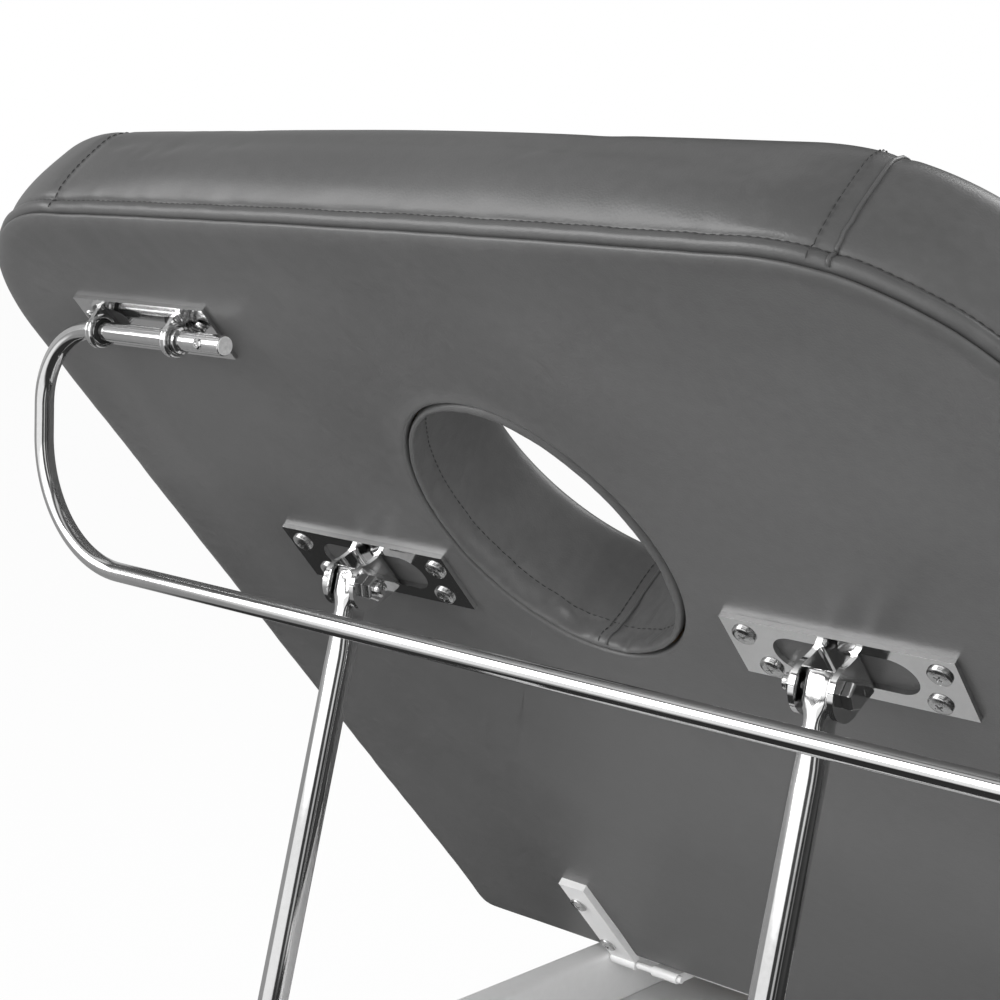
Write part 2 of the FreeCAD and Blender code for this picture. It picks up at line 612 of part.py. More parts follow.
def lift_supports():
    low, high = "low_z - lift_bar_size / 2", "low_z + lift_bar_size / 2"
    node("lift_cross_bar", box(("-rail_inner + hanger_thick", "rail_inner - hanger_thick"),
                               ("bar_face_y", "bar_face_y + lift_bar_size"), (low, high)))
    pair("lift_hanger", box(("rail_inner - hanger_thick", "rail_inner"),
                            ("bar_face_y", "bar_face_y + hanger_wide"), (low, "rail_top")))
    base = box(("lift_centre_u - cheek_in - cheek_thick", "lift_centre_u + cheek_in + cheek_thick"),
               ("bar_face_y - clevis_base", "bar_face_y"),
               ("low_z - cheek_radius", "low_z + cheek_radius"))
    cheeks = [base]
    for start in ("lift_centre_u + cheek_in", "lift_centre_u - cheek_in - cheek_thick"):
        cheeks.append(box((start, start + " + cheek_thick"), ("low_y", "bar_face_y"),
                          ("low_z - cheek_radius", "low_z + cheek_radius")))
        cheeks.append(bar("cheek_radius", "cheek_thick", start, "low_y", "low_z", "x"))
    across = "2 * (cheek_in + cheek_thick + cut_over)"
    bore = bar("stub_radius + running_gap", across, "lift_centre_u - %s / 2" % across, "low_y", "low_z", "x")
    pair("lift_clevis", cut(joined(cheeks), bore))


# Towel bar

TOWEL_SCREWS = [("towel_plate_outer - towel_screw_outer_inset", "towel_screw_v", "towel_plate_thick",
                 "towel_screw_share"),
                ("towel_plate_inner + towel_screw_inner_inset", "towel_screw_v", "towel_plate_thick",
                 "towel_screw_share")]


def towel_bracket():
    plate = box(("towel_plate_inner", "towel_plate_outer"), ("-towel_plate_high_v", "-towel_plate_low_v"),
                ("-towel_plate_thick", "0"))
    windows, ears = [], []
    for place, side in (("towel_ear_inner", 1), ("towel_ear_outer", -1)):
        ears.append(ear("%s - %d * towel_ear_thick / 2" % (place, side), side, "towel_ear_thick",
                        "towel_ear_bend_radius", ("towel_foot_low", "towel_foot_high"),
                        ("towel_axis_v", "towel_axis_w"), "towel_ring_radius"))
        windows.append(window(place, side, "(towel_ear_thick / 2 + towel_window_reach)", "towel_window_half",
                              "towel_axis_v", "towel_plate_thick"))
    bore = bar("towel_radius + running_gap", "towel_plate_outer", "0", "-towel_axis_v", "-towel_axis_w", "x")
    holes = [screw_hole(*place) for place in TOWEL_SCREWS]
    bracket = cut(joined([cut(plate, *windows)] + ears), bore, *holes)
    node("towel_bracket", mirrored(bracket), BACKREST)


def quarter_bend(radius, x, z, turn):
    obj = add("Part::Torus", "bend")
    obj.setExpression("Radius1", sized(radius))
    obj.setExpression("Radius2", sized("towel_radius"))
    obj.Angle3 = 90
    return move(obj, x, "0", z, "rotation(vector(1;0;0);%s)" % turn)


def towel_bar():
    """A round bar that turns in the bracket, bends down and runs below the backrest to a free end."""
    end_x = "towel_side_reach - towel_bend_top_radius"
    low_x = "towel_side_reach - towel_bend_low_radius"
    low_z = "-towel_drop + towel_bend_low_radius"
    side = joined([bar("towel_radius", "%s - towel_tip" % end_x, "towel_tip", "0", "0", "x"),
                   quarter_bend("towel_bend_top_radius", end_x, "-towel_bend_top_radius", "90"),
                   bar("towel_radius", "-towel_bend_top_radius - (%s)" % low_z, "towel_side_reach", "0",
                       low_z),
                   quarter_bend("towel_bend_low_radius", low_x, low_z, "-90")])
    run = bar("towel_radius", "towel_free_end + %s" % low_x, "-(%s)" % low_x, "0", "-towel_drop", "x")
    pin_x = "-towel_tip - bar_pin_from_tip"
    pin = joined([bar("bar_pin_radius", "towel_radius", pin_x, "0", "0", "-y"),
                  bar("bar_pin_head_radius", "bar_pin_head_thick", pin_x,
                      "-towel_radius + bar_pin_head_thick / 2", "0", "-y")])
    node("towel_bar", cut(joined([mirrored(side), run]), pin), TOWEL)
    node("towel_bar_pin", pin, TOWEL)
    cap = bar("towel_cap_radius", "towel_cap_length", "towel_free_end + towel_cap_wall - towel_cap_length",
              "0", "-towel_drop", "x")
    node("towel_bar_end_cap", cut(cap, run), TOWEL)
    rings = []
    for start in ("-towel_ear_outer - towel_ear_thick / 2 - collar_ring_gap - collar_ring_wide",
                  "-towel_ear_inner + towel_ear_thick / 2 + collar_ring_gap"):
        bore = bar("towel_radius + collar_ring_clear", "collar_ring_wide + 2 * cut_over",
                   start + " - cut_over", "0", "0", "x")
        rings.append(cut(bar("collar_ring_radius", "collar_ring_wide", start, "0", "0", "x"), bore))
    node("towel_bar_collars", rings, TOWEL)


# Cabinet

def cabinet_carcass():
    half = "cabinet_half_width"
    full_x, full_y = ("-" + half, half), ("cab_low_y", "cab_high_y")
    inner_x = ("-%s + back_panel" % half, "carcass_front")
    tall = ("bay_low_z", "bay_high_z")
    pins = [door_pivot(place) for place in DOOR_PIVOTS]
    node("cabinet_bottom", cut(box(full_x, full_y, ("plinth_tall", "bay_low_z")), *pins))
    node("cabinet_top", cut(box(full_x, full_y, ("bay_high_z", "cabinet_top_z")), *pins))
    node("door_pivots", [door_pivot(place) for place in DOOR_PIVOTS])
    node("cabinet_head_end", box(("-" + half, "carcass_front"), ("cab_low_y", "cab_low_y + panel"), tall))
    node("cabinet_foot_end", box(("-" + half, "carcass_front"), ("cab_high_y - panel", "cab_high_y"), tall))
    node("cabinet_back", box(("-" + half, "-%s + back_panel" % half),
                             ("cab_low_y + panel", "cab_high_y - panel"), tall))
    node("cabinet_head_partition", box(inner_x, ("-bay_half - panel", "-bay_half"), tall))
    node("cabinet_foot_partition", box(inner_x, ("bay_half", "bay_half + panel"), tall))
    shelf_z = "bay_low_z + shelf_share * (bay_high_z - bay_low_z)"
    shelf_x = (inner_x[0], "carcass_front - shelf_set_back")
    for label, span in (("head_shelf", ("cab_low_y + panel", "-bay_half - panel")),
                        ("foot_shelf", ("bay_half + panel", "cab_high_y - panel"))):
        node(label, box(shelf_x, span, (shelf_z + " - panel / 2", shelf_z + " + panel / 2")))
    plinth_x = ("-%s + plinth_recess" % half, half + " - plinth_recess")
    plinth_y = ("cab_low_y + plinth_recess", "cab_high_y - plinth_recess")
    ring = cut(box(plinth_x, plinth_y, ("0", "plinth_tall")),
               box(shrink(plinth_x, "plinth_board"), shrink(plinth_y, "plinth_board"),
                   ("-cut_over", "plinth_tall + cut_over")))
    node("cabinet_plinth", ring)


DOOR_LOW = "bay_low_z + door_rise"
DOOR_HIGH = "bay_high_z - door_rise"
PIVOT_X = "cabinet_half_width - panel / 2"
DOOR_PIVOTS = [(y, z) for y in ("cab_low_y + panel / 2", "cab_high_y - panel / 2")
               for z in ("low", "high")]


def door_pivot(place):
    """A pivot pin between the door's edge and the panel, with a flange that carries the door."""
    y, end = place
    flange = "door_rise - running_gap"
    if end == "low":
        pin_z, flange_z = "bay_low_z - pivot_depth", "bay_low_z"
    else:
        pin_z, flange_z = "bay_high_z - door_rise - pivot_depth", "bay_high_z - (%s)" % flange
    return joined([bar("pivot_radius", "2 * pivot_depth + door_rise", PIVOT_X, y, pin_z),
                   bar("pivot_flange_radius", flange, PIVOT_X, y, flange_z)])


def handle(along, x, y, z):
    """A bar handle on two posts, standing off the front's face."""
    pieces = []
    for side in (1, -1):
        step = "%d * (handle_half - handle_post_inset)" % side
        post_y, post_z = ("%s + %s" % (y, step), z) if along == "y" else (y, "%s + %s" % (z, step))
        pieces.append(bar("handle_post_radius", "handle_stand_off", x, post_y, post_z, "x"))
    start_y, start_z = ("%s - handle_half" % y, z) if along == "y" else (y, "%s - handle_half" % z)
    pieces.append(bar("handle_radius", "2 * handle_half", "%s + handle_stand_off" % x, start_y, start_z,
                      along))
    return joined(pieces)


def doors():
    front = ("cabinet_half_width - panel", "cabinet_half_width")
    edge = "bay_half + panel / 2 + front_gap / 2"
    for label, span, pivot_y, grip_y in (
            ("head", ("cab_low_y", "-(%s)" % edge), "cab_low_y + panel / 2",
             "-(%s) - door_handle_from_edge" % edge),
            ("foot", (edge, "cab_high_y"), "cab_high_y - panel / 2", edge + " + door_handle_from_edge")):
        starts = (DOOR_LOW + " - cut_over", DOOR_HIGH + " - pivot_depth - running_gap")
        sockets = [bar("pivot_radius + running_gap", "pivot_depth + running_gap + cut_over", PIVOT_X,
                       pivot_y, start) for start in starts]
        node("door_" + label, cut(box(front, span, (DOOR_LOW, DOOR_HIGH)), *sockets))
        node("door_%s_handle" % label, handle("z", "cabinet_half_width", grip_y,
                                              "(bay_low_z + bay_high_z) / 2"))


DRAWERS = ("lower", "upper")


def drawers():
    front_x = ("cabinet_half_width - panel", "cabinet_half_width")
    half = "bay_half + panel / 2 - front_gap / 2"
    pitch = "((bay_high_z - bay_low_z - 2 * door_rise + front_gap) / %d)" % len(DRAWERS)
    runners = []
    for i, label in enumerate(DRAWERS):
        low = "%s + %d * %s" % (DOOR_LOW, i, pitch)
        high = "%s + %s - front_gap" % (low, pitch)
        tall = "drawer_tall_share * (%s - front_gap)" % pitch
        floor = low + " + drawer_lift"
        side = "bay_half - drawer_side_gap"
        back = front_x[0] + " - drawer_depth"
        body = cut(box((back, front_x[0]), ("-(%s)" % side, side), (floor, "%s + %s" % (floor, tall))),
                   box((back + " + drawer_wall", front_x[0] + " - drawer_wall"),
                       ("-(%s) + drawer_wall" % side, side + " - drawer_wall"),
                       (floor + " + drawer_wall", "%s + %s + cut_over" % (floor, tall))))
        node("drawer_%s_box" % label, body)
        node("drawer_%s_front" % label, box(front_x, ("-(%s)" % half, half), (low, high)))
        node("drawer_%s_handle" % label, handle("y", "cabinet_half_width", "0", high + " - handle_from_top"))
        middle = "%s + %s / 2" % (floor, tall)
        runner = box((back, "carcass_front"), (side + " + running_gap", "bay_half"),
                     (middle + " - runner_tall / 2", middle + " + runner_tall / 2"))
        runners += [runner, box((back, "carcass_front"), ("-bay_half", "-(%s) - running_gap" % side),
                                (middle + " - runner_tall / 2", middle + " + runner_tall / 2"))]
    node("drawer_runners", runners)


def backrest_screws():
    heads = []
    for place in PLATE_SCREWS + ARM_SCREWS:
        one = screw(*place)
        heads += [one, mirrored(one)]
    heads += [mirrored(screw(*place)) for place in TOWEL_SCREWS]
    node("backrest_screws", heads, BACKREST)


backrest_upholstery()
body_upholstery()
hinge_arms()
hinge_lugs()
rails()
support_bars()
lift_brackets()
lift_bolts()
lift_rods()
lift_tubes()
lock_knobs()
lift_supports()
towel_bracket()
towel_bar()
backrest_screws()
cabinet_carcass()
doors()
drawers()
doc.recompute()

for obj in doc.Objects:
    if "Invalid" in obj.State or "Error" in obj.State:
        raise RuntimeError("%s failed: %s" % (obj.Label, obj.State))
os.makedirs("parts", exist_ok=True)
for piece in parts:
    if piece.Shape.isNull() or not piece.Shape.isValid():
        raise RuntimeError(piece.Label + " has no valid shape")
    piece.Shape.exportStep("parts/%s.step" % piece.Label)
    print("%-26s solids %2d  volume %.0f" % (piece.Label, len(piece.Shape.Solids), piece.Shape.Volume))
print("nodes", len(parts))
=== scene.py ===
"""A spa bed: padded backrest with a face hole and chrome lift gear, on a white storage cabinet."""
import bpy
import bmesh
import json
import math
import random
from mathutils import Matrix, Quaternion, Vector, noise


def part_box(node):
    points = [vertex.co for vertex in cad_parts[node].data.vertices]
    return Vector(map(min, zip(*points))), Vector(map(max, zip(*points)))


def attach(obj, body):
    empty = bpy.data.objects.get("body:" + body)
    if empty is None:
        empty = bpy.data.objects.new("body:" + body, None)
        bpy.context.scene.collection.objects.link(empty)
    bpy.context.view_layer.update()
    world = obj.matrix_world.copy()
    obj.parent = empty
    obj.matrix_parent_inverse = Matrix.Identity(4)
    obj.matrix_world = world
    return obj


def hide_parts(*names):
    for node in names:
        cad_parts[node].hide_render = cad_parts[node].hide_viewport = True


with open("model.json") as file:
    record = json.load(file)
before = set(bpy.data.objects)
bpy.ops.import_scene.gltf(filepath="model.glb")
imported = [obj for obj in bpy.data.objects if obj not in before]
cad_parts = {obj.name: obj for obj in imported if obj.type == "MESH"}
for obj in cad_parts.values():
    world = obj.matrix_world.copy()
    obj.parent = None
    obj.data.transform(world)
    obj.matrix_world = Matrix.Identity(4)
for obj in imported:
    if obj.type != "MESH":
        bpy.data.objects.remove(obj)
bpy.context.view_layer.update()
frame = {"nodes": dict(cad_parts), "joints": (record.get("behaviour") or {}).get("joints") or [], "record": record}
MM = 0.001

# The view, the floor and the light.
# The camera stands low on the head end's right, as the photograph's does, and looks at the
# underside of the raised backrest. Floor and sky are pale, and the lamps are large and soft.
VIEW_PLACE = Vector((0.5861, -1.3685, 1.1278))
VIEW_AZIMUTH = math.radians(40.71)
VIEW_DROP = math.radians(8.49)
VIEW_ROLL = math.radians(2.61)
VIEW_LENS = 70.96
SENSOR = 36.0
SKY_LIGHT = 0.72
SKY_WHITE = (1.0, 1.0, 1.0, 1.0)
SKY_BANDS = ((0.0, 1.0), (0.50, 1.0), (0.73, 0.95), (0.77, 0.12), (0.83, 0.05), (0.86, 0.40), (0.90, 0.45),
             (0.93, 0.08), (1.0, 0.04))
SKY_GAIN = 1.5
COLUMNS = ((0.0, 0.35), (0.110, 0.35), (0.122, 1.0), (0.318, 1.0), (0.326, 0.05), (0.380, 0.05),
           (0.386, 0.55), (0.410, 0.55), (0.420, 0.03), (0.455, 0.03), (0.465, 0.26), (0.480, 0.03),
           (0.568, 0.07), (0.600, 0.03), (0.863, 0.03), (0.880, 0.35))
LOW_SKY = (0.46, 0.56)
FLOOR_COLOUR = (0.80, 0.80, 0.80, 1.0)
FLOOR_WHITENING = 0.93
FLOOR_MIDDLE = (0.0, -0.65, 0.0)
FLOOR_NEAR = (1.7, 2.4)
FLOOR_STRETCHES = ((0.0, 0.30), (0.24, 0.30), (0.31, 0.03), (1.0, 0.04))
FLOOR_SLANT = (1.0, 0.35, 0.0)
FLOOR_ACROSS = (-1.9, 0.1)
FLOOR_WANDER = 0.22
FLOOR_SIZE = 60


def new_material(name):
    """An empty node material with its output node."""
    material = bpy.data.materials.new(name)
    material.use_nodes = True
    material.node_tree.nodes.clear()
    material.node_tree.nodes.new("ShaderNodeOutputMaterial")
    return material


def add_node(tree, kind, settings=(), inputs=(), links=()):
    """A node with its settings, its input values and its incoming links by socket name."""
    node = tree.nodes.new(kind)
    for name, value in dict(settings).items():
        setattr(node, name, value)
    for name, value in dict(inputs).items():
        node.inputs[name].default_value = value
    for name, socket in dict(links).items():
        tree.links.new(socket, node.inputs[name])
    return node


def look_along(place, forward, roll):
    """A placement that looks along a direction, turned about it by the roll."""
    turn = forward.to_track_quat("-Z", "Y") @ Quaternion((0, 0, 1), roll)
    return Matrix.Translation(place) @ turn.to_matrix().to_4x4()


def make_view():
    """The camera, set on the scene."""
    ahead = Vector((-math.sin(VIEW_AZIMUTH) * math.cos(VIEW_DROP),
                    math.cos(VIEW_AZIMUTH) * math.cos(VIEW_DROP), -math.sin(VIEW_DROP)))
    data = bpy.data.cameras.new("view")
    data.lens = VIEW_LENS
    data.sensor_width = SENSOR
    data.clip_start = 0.05
    camera = bpy.data.objects.new("view", data)
    bpy.context.scene.collection.objects.link(camera)
    camera.matrix_world = look_along(VIEW_PLACE, ahead, VIEW_ROLL)
    bpy.context.scene.camera = camera


def rays_that_look(tree):
    """One for rays that see the backdrop itself: from the camera, in a gloss or through glass."""
    rays = add_node(tree, "ShaderNodeLightPath")
    looks = add_node(tree, "ShaderNodeMath", {"operation": "MAXIMUM"},
                     links={0: rays.outputs["Is Camera Ray"], 1: rays.outputs["Is Glossy Ray"]})
    clear = add_node(tree, "ShaderNodeMath", {"operation": "MAXIMUM"},
                     links={0: looks.outputs[0], 1: rays.outputs["Is Transmission Ray"]})
    return rays, clear.outputs[0]


def fill_ramp(node, stops):
    """Sets a colour ramp's greys, stop by stop."""
    ramp = node.color_ramp
    ramp.elements[0].position, ramp.elements[1].position = stops[0][0], stops[-1][0]
    for spot, grey in stops[1:-1]:
        ramp.elements.new(spot)
    for element, (spot, grey) in zip(ramp.elements, stops):
        element.color = (grey, grey, grey, 1.0)


def columns_round(tree, vector):
    """The studio's dark and pale uprights, by direction round the bed."""
    turn = add_node(tree, "ShaderNodeTexGradient", {"gradient_type": "RADIAL"}, links={"Vector": vector})
    columns = add_node(tree, "ShaderNodeValToRGB", links={0: turn.outputs["Fac"]})
    fill_ramp(columns, COLUMNS)
    return columns.outputs[0]


def make_sky():
    """White round the horizon with dark uprights; higher up a dark ceiling with one pale strip."""
    world = bpy.data.worlds.new("studio")
    bpy.context.scene.world = world
    world.use_nodes = True
    tree = world.node_tree
    tree.nodes.clear()
    place = add_node(tree, "ShaderNodeTexCoord")
    parts = add_node(tree, "ShaderNodeSeparateXYZ", links={0: place.outputs["Generated"]})
    height = add_node(tree, "ShaderNodeMapRange", inputs={"From Min": -1.0, "From Max": 1.0},
                      links={0: parts.outputs["Z"]})
    bands = add_node(tree, "ShaderNodeValToRGB", links={0: height.outputs[0]})
    fill_ramp(bands, SKY_BANDS)
    high = add_node(tree, "ShaderNodeMapRange", inputs={"From Min": LOW_SKY[0], "From Max": LOW_SKY[1]},
                    links={0: parts.outputs["Z"]})
    uprights = add_node(tree, "ShaderNodeMath", {"operation": "MAXIMUM"},
                        links={0: columns_round(tree, place.outputs["Generated"]), 1: high.outputs[0]})
    both = add_node(tree, "ShaderNodeMath", {"operation": "MULTIPLY"},
                    links={0: bands.outputs[0], 1: uprights.outputs[0]})
    rays, clear = rays_that_look(tree)
    strong = add_node(tree, "ShaderNodeMath", {"operation": "MULTIPLY"}, {1: SKY_GAIN}, {0: both.outputs[0]})
    level = add_node(tree, "ShaderNodeMath", {"operation": "MAXIMUM"},
                     links={0: strong.outputs[0], 1: rays.outputs["Is Camera Ray"]})
    soft = add_node(tree, "ShaderNodeBackground", inputs={"Color": SKY_WHITE, "Strength": SKY_LIGHT})
    bright = add_node(tree, "ShaderNodeBackground", inputs={"Strength": 1.0},
                      links={"Color": level.outputs[0]})
    mix = add_node(tree, "ShaderNodeMixShader", links={0: clear, 1: soft.outputs[0], 2: bright.outputs[0]})
    add_node(tree, "ShaderNodeOutputWorld", links={"Surface": mix.outputs[0]})


def make_floor():
    """A pale floor, white to the camera; what shines in metal also shows its darker stretches."""
    bpy.ops.object.select_all(action="DESELECT")
    bpy.ops.mesh.primitive_plane_add(size=FLOOR_SIZE, location=(0, 0, 0))
    floor = bpy.context.object
    floor.name = "floor"
    material = new_material("pale floor")
    tree = material.node_tree
    place = add_node(tree, "ShaderNodeTexCoord")
    slant = add_node(tree, "ShaderNodeVectorMath", {"operation": "DOT_PRODUCT"}, {1: FLOOR_SLANT},
                     {0: place.outputs["Object"]})
    wave = add_node(tree, "ShaderNodeTexNoise", inputs={"Scale": 3.0, "Detail": 2.0},
                    links={"Vector": place.outputs["Object"]})
    wander = add_node(tree, "ShaderNodeMath", {"operation": "MULTIPLY_ADD"}, {1: FLOOR_WANDER},
                      {0: wave.outputs["Fac"], 2: slant.outputs["Value"]})
    across = add_node(tree, "ShaderNodeMapRange",
                      inputs={"From Min": FLOOR_ACROSS[0], "From Max": FLOOR_ACROSS[1]},
                      links={0: wander.outputs[0]})
    stretches = add_node(tree, "ShaderNodeValToRGB", links={0: across.outputs[0]})
    fill_ramp(stretches, FLOOR_STRETCHES)
    centred = add_node(tree, "ShaderNodeVectorMath", {"operation": "SUBTRACT"}, {1: FLOOR_MIDDLE},
                       {0: place.outputs["Object"]})
    away = add_node(tree, "ShaderNodeVectorMath", {"operation": "LENGTH"}, links={0: centred.outputs[0]})
    far = add_node(tree, "ShaderNodeMapRange", inputs={"From Min": FLOOR_NEAR[0], "From Max": FLOOR_NEAR[1]},
                   links={0: away.outputs["Value"]})
    shown = add_node(tree, "ShaderNodeMixRGB", links={0: far.outputs[0], 1: stretches.outputs[0],
                                                      2: columns_round(tree, centred.outputs[0])})
    rays = add_node(tree, "ShaderNodeLightPath")
    level = add_node(tree, "ShaderNodeMath", {"operation": "MAXIMUM"},
                     links={0: shown.outputs[0], 1: rays.outputs["Is Camera Ray"]})
    whiten = add_node(tree, "ShaderNodeMath", {"operation": "MULTIPLY_ADD"}, {1: FLOOR_WHITENING},
                      {0: rays.outputs["Is Camera Ray"], 2: rays.outputs["Is Glossy Ray"]})
    matt = add_node(tree, "ShaderNodeBsdfDiffuse", inputs={"Color": FLOOR_COLOUR})
    glow = add_node(tree, "ShaderNodeEmission", inputs={"Color": SKY_WHITE},
                    links={"Strength": level.outputs[0]})
    mix = add_node(tree, "ShaderNodeMixShader",
                   links={0: whiten.outputs[0], 1: matt.outputs[0], 2: glow.outputs[0]})
    tree.links.new(mix.outputs[0], tree.nodes["Material Output"].inputs["Surface"])
    floor.data.materials.append(material)


LAMPS = (
    ("key", (-1.9, -3.2, 2.1), (0.0, -0.5, 1.0), 2.0, 58, True),
    ("fill", (2.7, -2.2, 1.5), (0.0, -0.5, 0.8), 1.8, 34, False),
    ("low", (0.9, -3.6, 0.55), (0.0, -0.5, 0.95), 1.6, 8, False),
    ("back", (0.6, 2.8, 3.2), (0.0, 0.0, 0.7), 2.2, 60, True),
)


def make_lamps():
    """Large soft lamps; some stay out of the chrome, so that their squares don't show in it."""
    for name, place, aim, size, power, gleams in LAMPS:
        data = bpy.data.lights.new(name, "AREA")
        data.size = size
        data.energy = power
        lamp = bpy.data.objects.new(name, data)
        lamp.visible_glossy = gleams
        bpy.context.scene.collection.objects.link(lamp)
        lamp.matrix_world = look_along(Vector(place), (Vector(aim) - Vector(place)).normalized(), 0)


bpy.context.scene.view_settings.view_transform = "Standard"
make_view()
make_sky()
make_floor()
make_lamps()

# The cabinet.
# White laminated boards on a plinth: two ends, a back, two partitions and two shelves, held
# between a bottom and a top board. All outer edges carry thin edging, eased by hand.
BODY_OF = {node: body for body, members in frame["record"]["behaviour"]["bodies"].items() for node in members}
BOARDS = ("cabinet_bottom", "cabinet_top", "cabinet_head_end", "cabinet_foot_end", "cabinet_back",
          "cabinet_head_partition", "cabinet_foot_partition", "head_shelf", "foot_shelf", "cabinet_plinth")
BOARD_EDGE = 0.8 * MM
SHARP = math.radians(32)
SMOOTH_BELOW = math.radians(50)
LEVEL_WITHIN = math.radians(0.4)
MERGED_WITHIN = 0.00001
FINE_TIMES, FINE_SHARE = 37.0, 0.35


def new_group(name, inputs, outputs):
    """An empty shader node group with its sockets, and its input and output nodes."""
    group = bpy.data.node_groups.new(name, "ShaderNodeTree")
    for label, kind, value in inputs:
        socket = group.interface.new_socket(label, in_out="INPUT", socket_type=kind)
        socket.default_value = value
    for label, kind in outputs:
        group.interface.new_socket(label, in_out="OUTPUT", socket_type=kind)
    return group, group.nodes.new("NodeGroupInput"), group.nodes.new("NodeGroupOutput")


def place_group(tree, group, values):
    """A group's node in a material, with the material's own values."""
    return add_node(tree, "ShaderNodeGroup", {"node_tree": group}, values)


def make_mottle():
    """Slow and fine change of tone over a surface: a colour between two, and a roughness."""
    group, source, sink = new_group(
        "mottle", [("Dark", "NodeSocketColor", (0.1, 0.1, 0.1, 1)),
                   ("Light", "NodeSocketColor", (0.2, 0.2, 0.2, 1)),
                   ("Size", "NodeSocketFloat", 6.0), ("Roughness", "NodeSocketFloat", 0.4),
                   ("Spread", "NodeSocketFloat", 0.1)],
        [("Color", "NodeSocketColor"), ("Roughness", "NodeSocketFloat")])
    place = add_node(group, "ShaderNodeTexCoord")
    slow = add_node(group, "ShaderNodeTexNoise", inputs={"Detail": 4.0},
                    links={"Vector": place.outputs["Object"], "Scale": source.outputs["Size"]})
    finer = add_node(group, "ShaderNodeMath", {"operation": "MULTIPLY"}, {1: FINE_TIMES},
                     {0: source.outputs["Size"]})
    fine = add_node(group, "ShaderNodeTexNoise", inputs={"Detail": 3.0},
                    links={"Vector": place.outputs["Object"], "Scale": finer.outputs[0]})
    both = add_node(group, "ShaderNodeMath", {"operation": "MULTIPLY_ADD"}, {1: FINE_SHARE},
                    {0: fine.outputs["Fac"], 2: slow.outputs["Fac"]})
    mask = add_node(group, "ShaderNodeMapRange", inputs={"From Min": 0.5, "From Max": 0.85},
                    links={0: both.outputs[0]})
    tone = add_node(group, "ShaderNodeMixRGB", links={0: mask.outputs[0], 1: source.outputs["Dark"],
                                                      2: source.outputs["Light"]})
    rough = add_node(group, "ShaderNodeMath", {"operation": "MULTIPLY_ADD"},
                     links={0: mask.outputs[0], 1: source.outputs["Spread"], 2: source.outputs["Roughness"]})
    group.links.new(tone.outputs[0], sink.inputs["Color"])
    group.links.new(rough.outputs[0], sink.inputs["Roughness"])
    return group


def make_grain():
    """Pressed grain: small closed cells with softer creases over them, as a height."""
    group, source, sink = new_group(
        "grain", [("Cells", "NodeSocketFloat", 900.0), ("Creases", "NodeSocketFloat", 60.0)],
        [("Height", "NodeSocketFloat")])
    place = add_node(group, "ShaderNodeTexCoord")
    cells = add_node(group, "ShaderNodeTexVoronoi", {"feature": "SMOOTH_F1"},
                     links={"Vector": place.outputs["Object"], "Scale": source.outputs["Cells"]})
    creases = add_node(group, "ShaderNodeTexNoise", inputs={"Detail": 5.0},
                       links={"Vector": place.outputs["Object"], "Scale": source.outputs["Creases"]})
    height = add_node(group, "ShaderNodeMath", {"operation": "MULTIPLY_ADD"}, {1: 0.5},
                      {0: cells.outputs["Distance"], 2: creases.outputs["Fac"]})
    group.links.new(height.outputs[0], sink.inputs["Height"])
    return group


MOTTLE = make_mottle()
GRAIN = make_grain()


def finish_material(name, dark, light, size, rough, spread, metallic=0.0, grain=None, depth=0.0):
    """A surface whose tone and gloss drift, with an optional pressed grain."""
    material = new_material(name)
    tree = material.node_tree
    mottle = place_group(tree, MOTTLE, {"Dark": (dark, dark, dark, 1), "Light": (light, light, light, 1),
                                        "Size": size, "Roughness": rough, "Spread": spread})
    shader = add_node(tree, "ShaderNodeBsdfPrincipled", inputs={"Metallic": metallic},
                      links={"Base Color": mottle.outputs["Color"], "Roughness": mottle.outputs["Roughness"]})
    if grain:
        relief = place_group(tree, GRAIN, {"Cells": grain[0], "Creases": grain[1]})
        bump = add_node(tree, "ShaderNodeBump", inputs={"Strength": 1.0, "Distance": depth},
                        links={"Height": relief.outputs["Height"]})
        tree.links.new(bump.outputs[0], shader.inputs["Normal"])
    tree.links.new(shader.outputs[0], tree.nodes["Material Output"].inputs["Surface"])
    return material


LAMINATE = finish_material("white laminate", 0.78, 0.84, 3.0, 0.34, 0.14, grain=(1500.0, 240.0),
                           depth=0.00002)


def only(piece):
    """Selects one piece alone."""
    bpy.ops.object.select_all(action="DESELECT")
    piece.select_set(True)
    bpy.context.view_layer.objects.active = piece


def eased(piece, width, segments=2, sharp=SHARP):
    """Rounds a piece's sharp edges a little; large faces keep their own direction in the shading."""
    only(piece)
    edge = piece.modifiers.new("edge", "BEVEL")
    edge.width = width
    edge.segments = segments
    edge.limit_method = "ANGLE"
    edge.angle_limit = sharp
    edge.harden_normals = False
    bpy.ops.object.modifier_apply(modifier="edge")
    bpy.ops.object.shade_smooth_by_angle(angle=SMOOTH_BELOW)
    flats = piece.modifiers.new("flats", "WEIGHTED_NORMAL")
    flats.mode = "FACE_AREA"
    flats.keep_sharp = True
    bpy.ops.object.modifier_apply(modifier="flats")


def settle(piece, place, body, replaced=()):
    """Puts a finished piece in its place and ties it to its body and finish."""
    piece.data.transform(place)
    piece.data.update()
    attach(piece, body)
    if replaced:
        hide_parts(*replaced)


